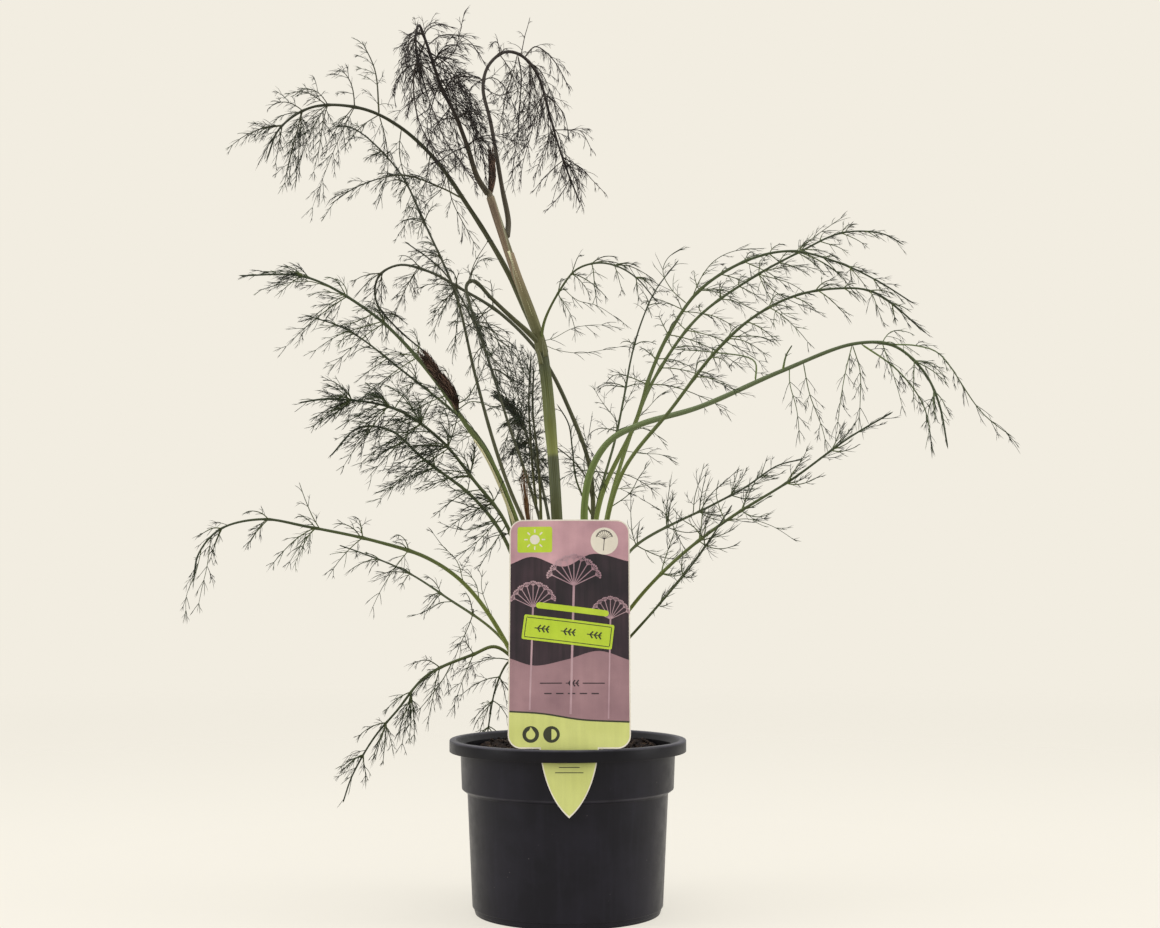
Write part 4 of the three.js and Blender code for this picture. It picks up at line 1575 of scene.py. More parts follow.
@dataclass(frozen=True)
class Leaf:
    """One leaf in one piece: sheathing base, stalk, pinnae, pinnules and threads.

    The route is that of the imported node, in millimetres, and the pairs of pinnae stand about where its
    side stalks do. seat is an angle round the crown and a ring on it, or None for a leaf of the main stem.
    """

    node: str
    seat: Span | None
    route: tuple[Point, ...]
    radius: float
    blade: float
    reach: float
    roll: float
    tip: float = 0.5
    pairs: int = 5
    habit: Habit = AIRY
    tissue: PlantTissue = GREEN
    drift: Point | None = None
    limbs: tuple[Limb, ...] = ()
    sheath: float = 0.0

    stalk_steps: int = 150
    taper: float = 1.2
    sheath_length: float = 45.0
    foot_oval: float = 0.45
    foot_steps: float = 22.0
    flute_depth: float = 0.035
    node_swell: float = 0.28
    node_steps: float = 0.9
    pinna_angle: Span = (68, 42)
    pinna_shrink: float = 0.72
    pinna_sag: float = 0.22
    last_pinna: float = 0.97
    folded: int = 0
    folded_from: float = 0.8
    folded_radius: float = 1.5

    def axis(self) -> Array:
        """Give the stalk's line in metres.

        Returns:
            Evenly spaced points.
        """
        route = list(self.route)
        if self.seat:
            angle, ring = math.radians(self.seat[0]), self.seat[1]
            route.insert(0, (ring * math.cos(angle), ring * math.sin(angle), CROWN_SEAT_HEIGHT))
        return curve_through(np.array(route, float) * MM, self.stalk_steps)

    def vary(self, number: int, pair: int, side: int) -> float:
        """Give a repeatable value of 0 to 1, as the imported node's pinnae have."""
        turn = math.sin(number * 12.9898 + pair * 78.233 + side * 37.719) * 43758.5453
        return turn - math.floor(turn)

    def radii(self, axis: Array) -> Array:
        """Give the stalk's radius in metres along its line.

        Args:
            axis: The stalk's line.

        Returns:
            The radius at each point.
        """
        share = np.linspace(0, 1, len(axis))
        length = np.linalg.norm(np.diff(axis, axis=0), axis=1).sum() / MM
        swell = 1.2 if self.seat is None or self.radius > 3 else 1.5
        sheath = mix(swell, 1.0, np.minimum(1, share * length / self.sheath_length))
        return mix(self.radius, self.tip, share**self.taper) * sheath * MM

    def nodes(self) -> list[Span]:
        """Give each pinna pair's share of the blade and of the stalk."""
        shares = [pair / self.pairs for pair in range(self.pairs)]
        return [(share, mix(self.blade, self.last_pinna, share)) for share in shares]

    def drift_way(self, axis: Array) -> Array:
        """Give the way that the leaf's shoots hang: as stated, or down and a little outwards."""
        out = unit((axis[-1] - axis[0]) * (1, 1, 0)) * 0.35 - UP
        return unit(np.array(self.drift, float) if self.drift else out)

    def add_stalk(self, skin: Skin, axis: Array) -> None:
        """Add the stalk, with its sheathing base and a swelling at each pair of pinnae.

        Args:
            skin: Where it goes.
            axis: The stalk's line.
        """
        share = np.linspace(0, 1, len(axis))
        radii = self.radii(axis)
        step = 1 / self.stalk_steps
        for _, along in self.nodes():
            radii *= 1 + self.node_swell * np.exp(-(((share - along) / (self.node_steps * step)) ** 2))
        radii *= 1 + 0.03 * ripple(axis, 0.02, len(self.node))
        sides = 12 if self.radius > 2.5 else 8
        flute = 1 + self.flute_depth * np.cos(np.arange(sides) * math.pi)
        base = np.exp(-share * self.stalk_steps / self.foot_steps)[:, None] * (1 if self.seat else 0.4)
        oval = 1 + self.foot_oval * base * np.abs(np.cos(steps_round(sides)))
        across = np.array([MapBand.STALK.value])
        side_way = unit(np.cross(UP, axis[-1] - axis[0]))[None]
        along = np.array([[0.01 if self.seat else 0.28, 0.99]])
        skin.add_tubes(axis[None], radii[None], sides, across, along, side_way, oval * flute)

    def add_sheath(self, skin: Skin, axis: Array) -> None:
        """Add the pale sheath that wraps the stalk's lower part, open on the inner side.

        Args:
            skin: Where it goes.
            axis: The stalk's line.
        """
        end = int(self.sheath * self.stalk_steps)
        share = np.linspace(0, 1, end - 2)
        radius = self.radii(axis)[2:end] * mix(1.75, 1.12, share**0.5) + 0.3 * MM
        half = np.radians(mix(120, 22, share**0.7))
        add_gutter(skin, axis[2:end], radius, half, unit(np.array([-1.0, -0.55, 0.0])))

    def pinnae(self, number: int, axis: Array, drift: Array, rng: Rng) -> Shoots:
        """Give the pinnae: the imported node's pairs, more between them, and others round each pair.

        Args:
            number: The leaf's number.
            axis: The stalk's line.
            drift: The way that they hang or are combed.
            rng: The random numbers.

        Returns:
            The pinnae.
        """
        habit = self.habit
        rows = []
        for pair, (share, at) in enumerate(self.nodes()):
            twist = self.roll + 30 * (self.vary(number, pair, 0) - 0.5)
            low = mix(habit.foot_reach, 1, min(1, share / 0.4))
            for side in (-1, 1):
                change = self.vary(number, pair, side)
                reach = self.reach * (1 - self.pinna_shrink * share) * mix(0.8, 1.15, change)
                angle = mix(*self.pinna_angle, share) + 24 * (change - 0.5)
                rows.append((at, twist, side, angle, reach * habit.longer * low))
            for _ in range(habit.whorl if pair else 1):
                turn = self.roll + rng.uniform(-180, 180)
                reach = self.reach * math.sin(math.pi * mix(0.22, 0.88, share)) * low
                reach *= rng.uniform(0.35, 0.85)
                rows.append((at + rng.uniform(-0.004, 0.006), turn, 1, rng.uniform(30, 75), reach))
            for extra in range(habit.between):
                later = share + (extra + 1) / (habit.between + 1) / self.pairs
                at = mix(self.blade, self.last_pinna, later)
                for side in (-1, 1):
                    turn = self.roll + rng.uniform(-25, 25)
                    reach = self.reach * (1 - 0.75 * later) * rng.uniform(0.45, 0.85)
                    rows.append((at, turn, side, mix(64, 40, later) + rng.uniform(-12, 12), reach))
        across = unit(np.cross(UP, (axis[-1] - axis[0]) * (1, 1, 0)))
        grown = []
        for at, turn, side, angle, reach in rows:
            foot, ahead = along_line(axis, at)
            level = unit(across - ahead * (across @ ahead))
            level = turn_about(level[None], ahead[None], np.array([math.radians(turn)]))[0]
            away = level * side * math.sin(math.radians(angle))
            grown.append((foot, ahead, ahead * math.cos(math.radians(angle)) + away, [reach * MM] * 3))
        feet, ahead, ways, reaches = (np.array(part) for part in zip(*grown))
        stations = np.append([0, 0.02], np.linspace(0, 1, 10)[1:])
        share = stations[:, None]
        comb = habit.comb * drift * share**1.8
        bent = ways[:, None] * share - UP * self.pinna_sag * share**2.87 + comb
        lines = feet[:, None] + reaches[:, None] * bent
        lines += reaches[:, None] * (rng.normal(0, 0.012, (len(rows), 1, 3)) * np.sin(share * math.pi * 2))
        return Shoots(lines, square_to(ahead, ways), rng.uniform(0.2, 0.8, len(rows)), stations)

    def limb_lines(self, axis: Array) -> Shoots:
        """Give the limbs as shoots.

        Args:
            axis: The stalk's line.

        Returns:
            The limbs.
        """
        lines = []
        for limb in self.limbs:
            foot, _ = along_line(axis, limb.at)
            lines.append(curve_through(np.vstack([foot, np.array(limb.route, float) * MM]), 24))
        lines = np.array(lines)
        planes = unit(np.cross(unit(lines[:, 3] - lines[:, 0]), UP))
        return Shoots(lines, planes, np.full(len(lines), 0.5), np.linspace(0, 1, 25))

    def tip_line(self, axis: Array) -> Shoots:
        """Give the end of the stalk, which carries pinnules and threads itself.

        Args:
            axis: The stalk's line.

        Returns:
            The end as one shoot.
        """
        line = axis[int(mix(self.blade, self.last_pinna, 0.72) * self.stalk_steps) :]
        plane = unit(np.cross(UP, axis[-1] - axis[0]))[None]
        return Shoots(line[None], plane, np.array([0.5]), np.linspace(0, 1, len(line)))

    def build(self, number: int, material: Material) -> None:
        """Build and dress the leaf.

        Args:
            number: The leaf's number, which picks its random numbers.
            material: Its tissue's material.
        """
        rng = np.random.default_rng(1000 + number)
        axis = self.axis()
        skin = Skin()
        self.add_stalk(skin, axis)
        if self.sheath:
            self.add_sheath(skin, axis)
        drift = self.drift_way(axis)
        pinnae = self.pinnae(number, axis, drift, rng)
        carriers = [pinnae, self.tip_line(axis)]
        if self.limbs:
            carriers.append(self.limb_lines(axis))
        pinnule_rule, fine_rule, thread_rule = self.habit.rules()
        pinnules = [pinnule_rule.shoots_on(carrier, drift, rng) for carrier in carriers]
        long_ones = [group.picked(group.lengths() > LONG_PINNULE * MM) for group in pinnules]
        fine = [fine_rule.shoots_on(group, drift, rng) for group in long_ones if len(group.lines)]
        threads = [thread_rule.shoots_on(group, drift, rng) for group in (*pinnules, *fine, pinnae)]
        for one, limb in enumerate(self.limbs):
            start = np.interp(limb.radius, [0.5, 1.2], [0.45, 0.08])
            radius = (limb.radius, limb.radius * 0.5)
            add_shoots(skin, carriers[-1].picked([one]), 5, radius, (start, 0.95), MapBand.STALK)
        add_shoots(skin, pinnae, 4, PINNA_RADIUS, (0.45, 0.95), MapBand.STALK)
        for groups, radius, along in (
            (pinnules, PINNULE_RADIUS, (0.05, 0.6)),
            (fine, FINE_RADIUS, (0.2, 0.75)),
            (threads, THREAD_RADIUS, (0.4, 0.98)),
        ):
            for group in groups:
                add_shoots(skin, group, 3, radius, along)
        if self.folded:
            start = int(len(axis) * self.folded_from)
            radii = np.full(len(axis) - start, self.folded_radius * MM)
            add_folded_threads(skin, axis[start:], radii, self.folded, 6.0, rng)
        leaf = skin.piece(self.node.replace("leaf", "frond"), material)
        hand_over(leaf, self.node)


def add_gutter(
    skin: Skin, line: Array, radius: Array, half_angle: Array, facing: Array, along: Span = (0.02, 0.98)
) -> None:
    """Add a thin open sheath along a line.

    Args:
        skin: Where it goes.
        line: Its line in metres.
        radius: Its radius at each point of the line.
        half_angle: Half the angle that it wraps at each point, in radians.
        facing: The way that its closed side faces.
        along: Place along the bake map at foot and tip.
    """
    wall, columns = 0.3 * MM, 15
    ahead = unit(np.gradient(line, axis=0))
    out = square_to(facing[None], ahead)
    cross = np.cross(ahead, out)
    turn = (half_angle[:, None] * np.linspace(-1, 1, columns))[..., None]
    spokes = out[:, None] * np.cos(turn) + cross[:, None] * np.sin(turn)
    inner = line[:, None] + spokes * radius[:, None, None]
    outer = line[:, None] + spokes * (radius[:, None, None] + wall)
    rings = np.concatenate([outer, inner[:, ::-1]], 1)[None]
    low, high = MapBand.SHEATH.value
    there = np.linspace(low, high, columns)
    u = np.tile(np.concatenate([there, there[::-1]]), len(line))
    v = np.repeat(np.linspace(*along, len(line)), 2 * columns)
    middle = np.array([[(low + high) / 2, end] for end in along])
    places = np.concatenate([middle[:1], np.stack([u, v], 1), middle[1:]])[None]
    skin.add_shells(rings, rings[:, 0].mean(1), rings[:, -1].mean(1), places)


def add_shoots(
    skin: Skin, shoots: Shoots, sides: int, radius: Span, along: Span, band: MapBand = MapBand.THREAD
) -> None:
    """Skin shoots as fine tubes that taper to a point, leaving out any that reach too far.

    Args:
        skin: Where they go.
        shoots: The shoots.
        sides: Sides of each tube.
        radius: Radius at foot and tip, in millimetres.
        along: Place along the bake map at foot and tip.
        band: The bake map's strip.
    """
    low, high = (np.array(corner) for corner in CAD_BOX)
    room = 0.02 * (high - low) + 7 * MM
    shoots = shoots.picked(((shoots.lines > low - room) & (shoots.lines < high + room)).all((1, 2)))
    count = len(shoots.lines)
    if not count:
        return
    radii = mix(*radius, shoots.stations) * MM * np.ones((count, 1))
    across = np.tile(band.value, (count, 1))
    if band is MapBand.THREAD:
        left = mix(band.value[0], band.value[1] - 0.04, shoots.tones)
        across = np.stack([left, left + 0.04], 1)
    skin.add_tubes(shoots.lines, radii, sides, across, np.tile(along, (count, 1)))


@dataclass
class MainStem:
    """The thick jointed stem, ribbed, with a ring at its joint and sheaths at its upper nodes."""

    route: tuple[Point, ...] = (
        (1, 0, 122), (-4, 0, 194), (-8, 0, 281), (-12, 0, 339), (-20, 0, 408), (-39, 0, 463),
        (-59, 0, 523),
    )
    girth: tuple[Span, ...] = (
        (0, 4.1), (0.498, 4.05), (0.505, 3.85), (0.56, 4.4), (0.66, 4.1), (0.695, 4.2), (0.73, 3.5),
        (0.84, 3.0), (0.95, 2.8), (0.985, 2.5), (1, 0.8),
    )
    steps: int = 240
    sides: int = 28

    def build(self) -> None:
        """Build and dress the stem."""
        axis = curve_through(np.array(self.route, float) * MM, self.steps)
        radii = np.interp(np.linspace(0, 1, len(axis)), *zip(*self.girth))
        ribs = 1 + 0.03 * np.cos(steps_round(self.sides) * self.sides / 2) * np.ones((len(axis), 1))
        skin = Skin()
        across, along = np.array([MapBand.STALK.value]), np.array([[0.005, 0.995]])
        front = np.array([[0.0, -1.0, 0.0]])
        skin.add_tubes(axis[None], radii[None] * MM, self.sides, across, along, front, ribs)
        for span, wrap, facing, places in (
            ((0.69, 0.88), (170, 50), (0.85, -0.5, 0), (0.03, 0.42)),
            ((0.78, 0.99), (60, 140), (-0.85, -0.5, 0), (0.36, 0.62)),
            ((0.755, 0.885), (5, 17), (0.05, -1, 0), (0.82, 0.98)),
            ((0.668, 0.7), (26, 5), (-0.6, -0.85, 0), (0.04, 0.1)),
            ((0.68, 0.715), (22, 4), (0.5, -0.85, 0), (0.04, 0.1)),
        ):
            first, last = (int(share * self.steps) for share in span)
            share = np.linspace(0, 1, last - first)
            radius = (radii[first:last] + 0.2 * share) * MM
            half = np.radians(mix(*wrap, share**2))
            add_gutter(skin, axis[first:last], radius, half, unit(np.array(facing)), places)
        stem = skin.piece("stem_skin", self.tissue().material())
        hand_over(stem, "main_stem")

    @staticmethod
    def tissue() -> PlantTissue:
        """Give the stem's finish: grey bloom below the joint, yellow-green above it, tan at the top.

        Returns:
            The finish.
        """
        return PlantTissue(
            "stem",
            stalk=(
                (88, 94, 48), (78, 82, 44), (74, 76, 50), (122, 126, 66), (98, 102, 52), (80, 84, 42),
                (60, 62, 38), (76, 78, 48), (98, 92, 64), (92, 80, 64),
            ),
            stalk_at=(0, 0.35, 0.5, 0.508, 0.56, 0.62, 0.68, 0.76, 0.86, 1),
            sheath=(
                (84, 86, 54), (98, 94, 62), (126, 110, 86), (106, 90, 74), (190, 188, 142),
                (204, 200, 166),
            ),
            young=(90, 100, 60),
            aged=(70, 60, 50),
            bloom_share=0.3,
            margin=(150, 150, 122),
        )


@dataclass
class RootCrown:
    """The knob of old leaf bases, half sunk in the soil: a core wrapped in torn, fibrous sheaths."""

    foot: float = 104.0
    top: float = 125.0
    scales: int = 13
    fibres: int = 90

    def build(self) -> None:
        """Build and dress the crown."""
        rng = np.random.default_rng(9)
        skin = Skin()
        corners = [
            (0, self.foot, 0), (17, self.foot, 2), (22, 111, 2), (21.5, 118.5, 2), (17, 123, 2),
            (8, 124.5, 1), (0, 124.5, 0),
        ]
        add_turned(skin, rounded(corners), 72)
        points = skin.points[0]
        angle = np.arctan2(points[:, 1], points[:, 0])
        points[:, :2] *= (1 + 0.03 * np.sin(angle * 19) + 0.02 * np.sin(angle * 43 + 1))[:, None]
        across = mix(*MapBand.STALK.value, np.abs(angle) / math.pi)
        high = (points[:, 2] / MM - self.foot) / (self.top - self.foot)
        skin.places[0] = np.stack([across, high * 0.9 + 0.05], 1)
        for number in range(self.scales):
            self.add_scale(skin, number, rng)
        self.add_fibres(skin, rng)
        crown = skin.piece("crown_knob", self.tissue().material())
        hand_over(crown, "root_crown")

    def add_scale(self, skin: Skin, number: int, rng: Rng) -> None:
        """Add one old leaf base that clasps the knob.

        Args:
            skin: Where it goes.
            number: Its number, which sets its place round the knob.
            rng: The random numbers.
        """
        way = directions(np.array(number * GOLDEN_ANGLE))
        reach = rng.uniform(15, 20)
        top = rng.uniform(120, 131)
        route = [way * reach + UP * 106, way * (reach + 1.5) + UP * 114, way * (reach - 2) + UP * top]
        line = curve_through(np.array(route) * MM, 16)
        share = np.linspace(0, 1, len(line))
        radius = rng.uniform(4.5, 6.5) * (1 - 0.45 * share) * MM
        add_gutter(skin, line, radius, np.radians(mix(88, 30, share**2)), way)

    def add_fibres(self, skin: Skin, rng: Rng) -> None:
        """Add the dry fibres of rotted sheaths, upright round the knob.

        Args:
            skin: Where they go.
            rng: The random numbers.
        """
        count = self.fibres
        way = directions(rng.uniform(0, 2 * math.pi, count))
        foot = way * rng.uniform(19, 22.5, (count, 1)) + UP * rng.uniform(107, 114, (count, 1))
        rule = Sprouting(1, 1, 1, 1, 0, 0, 0, 0.25, stations=(0, 0.1, 0.4, 0.7, 1))
        leave = unit(UP + way * rng.uniform(-0.25, 0.35, (count, 1)))
        reach, tones = rng.uniform(7, 16, count) * MM, rng.uniform(0, 1, count)
        lines = rule.grown(foot * MM, leave, reach, -UP, rng)
        shoots = Shoots(lines, square_to(way, leave), tones, np.array(rule.stations))
        add_shoots(skin, shoots, 3, FIBRE_RADIUS, (0.05, 0.95))

    @staticmethod
    def tissue() -> PlantTissue:
        """Give the crown's finish: pale green leaf bases with straw-brown edges and fibres.

        Returns:
            The finish.
        """
        return PlantTissue(
            "crown",
            stalk=((96, 78, 54), (134, 124, 82), (138, 140, 92), (122, 132, 82)),
            sheath=((122, 98, 70), (156, 148, 104), (166, 160, 116), (138, 116, 82)),
            thread=((104, 80, 54), (130, 102, 70), (146, 118, 84)),
            young=(160, 140, 100),
            aged=(78, 56, 40),
            roughness=0.66,
        )


@dataclass(frozen=True)
class Bud:
    """A young leaf still folded in its sheath: a spindle wrapped in fine, combed threads."""

    node: str
    route: tuple[Point, ...]
    radius: float
    hairs: int
    overhang: float
    loose: float = 1.5
    tissue: PlantTissue = FOLDED
    steps: int = 40
    sides: int = 14

    def build(self, number: int) -> None:
        """Build and dress the bud.

        Args:
            number: Picks its random numbers.
        """
        rng = np.random.default_rng(300 + number)
        axis = curve_through(np.array(self.route, float) * MM, self.steps)
        share = np.linspace(0, 1, len(axis))
        radii = self.radius * np.interp(share, [0, 0.3, 0.9, 1], [0.3, 0.5, 0.46, 0.3]) * MM
        folds = 1 + 0.1 * np.cos(steps_round(self.sides) * self.sides / 2) * np.ones((len(axis), 1))
        skin = Skin()
        across, along = np.array([MapBand.STALK.value]), np.array([[0.01, 0.99]])
        skin.add_tubes(axis[None], radii[None], self.sides, across, along, None, folds)
        add_folded_threads(skin, axis, radii, self.hairs, self.overhang, rng, self.loose)
        bud = skin.piece(self.node.replace("bud", "folded_leaf"), self.tissue.material())
        hand_over(bud, self.node)


def add_folded_threads(
    skin: Skin, axis: Array, radii: Array, count: int, overhang: float, rng: Rng, loose: float = 1.5
) -> None:
    """Add folded threads, which lie along a spindle and stand out past its tip.

    Args:
        skin: Where they go.
        axis: The spindle's line.
        radii: The spindle's radius at each point, in metres.
        count: How many threads.
        overhang: How far they stand out past the tip, in millimetres.
        rng: The random numbers.
        loose: How far the loosest thread's tip lifts off, in millimetres.
    """
    stops = np.linspace(0, 1, 7)
    start = rng.uniform(0.02, 0.85, (count, 1))
    run = rng.uniform(0.15, 0.42, (count, 1)) * stops
    share = start + run
    winding = rng.normal(0, 3.0, (count, 1)) * run
    turn = (rng.uniform(0, 2 * math.pi, (count, 1)) + winding)[..., None]
    index = np.minimum(share, 1) * (len(axis) - 1)
    low = np.minimum(index.astype(int), len(axis) - 2)
    point = mix(axis[low], axis[low + 1], (index - low)[..., None])
    ahead = unit(axis[low + 1] - axis[low])
    side = unit(np.cross(ahead, [0.2, 1.0, 0.1]))
    out = side * np.cos(turn) + np.cross(ahead, side) * np.sin(turn)
    lift = stops**2 * rng.uniform(0.1, loose, (count, 1)) * MM
    reach = np.interp(share, np.linspace(0, 1, len(axis)), radii) + lift
    past = np.clip((share - 1) / 0.25, 0, 1)[..., None] * ahead * overhang * MM
    lines = point + past + out * reach[..., None]
    shoots = Shoots(lines, side[:, 0], rng.uniform(0, 1, count), stops)
    add_shoots(skin, shoots, 3, FIBRE_RADIUS, (0.02, 0.98))


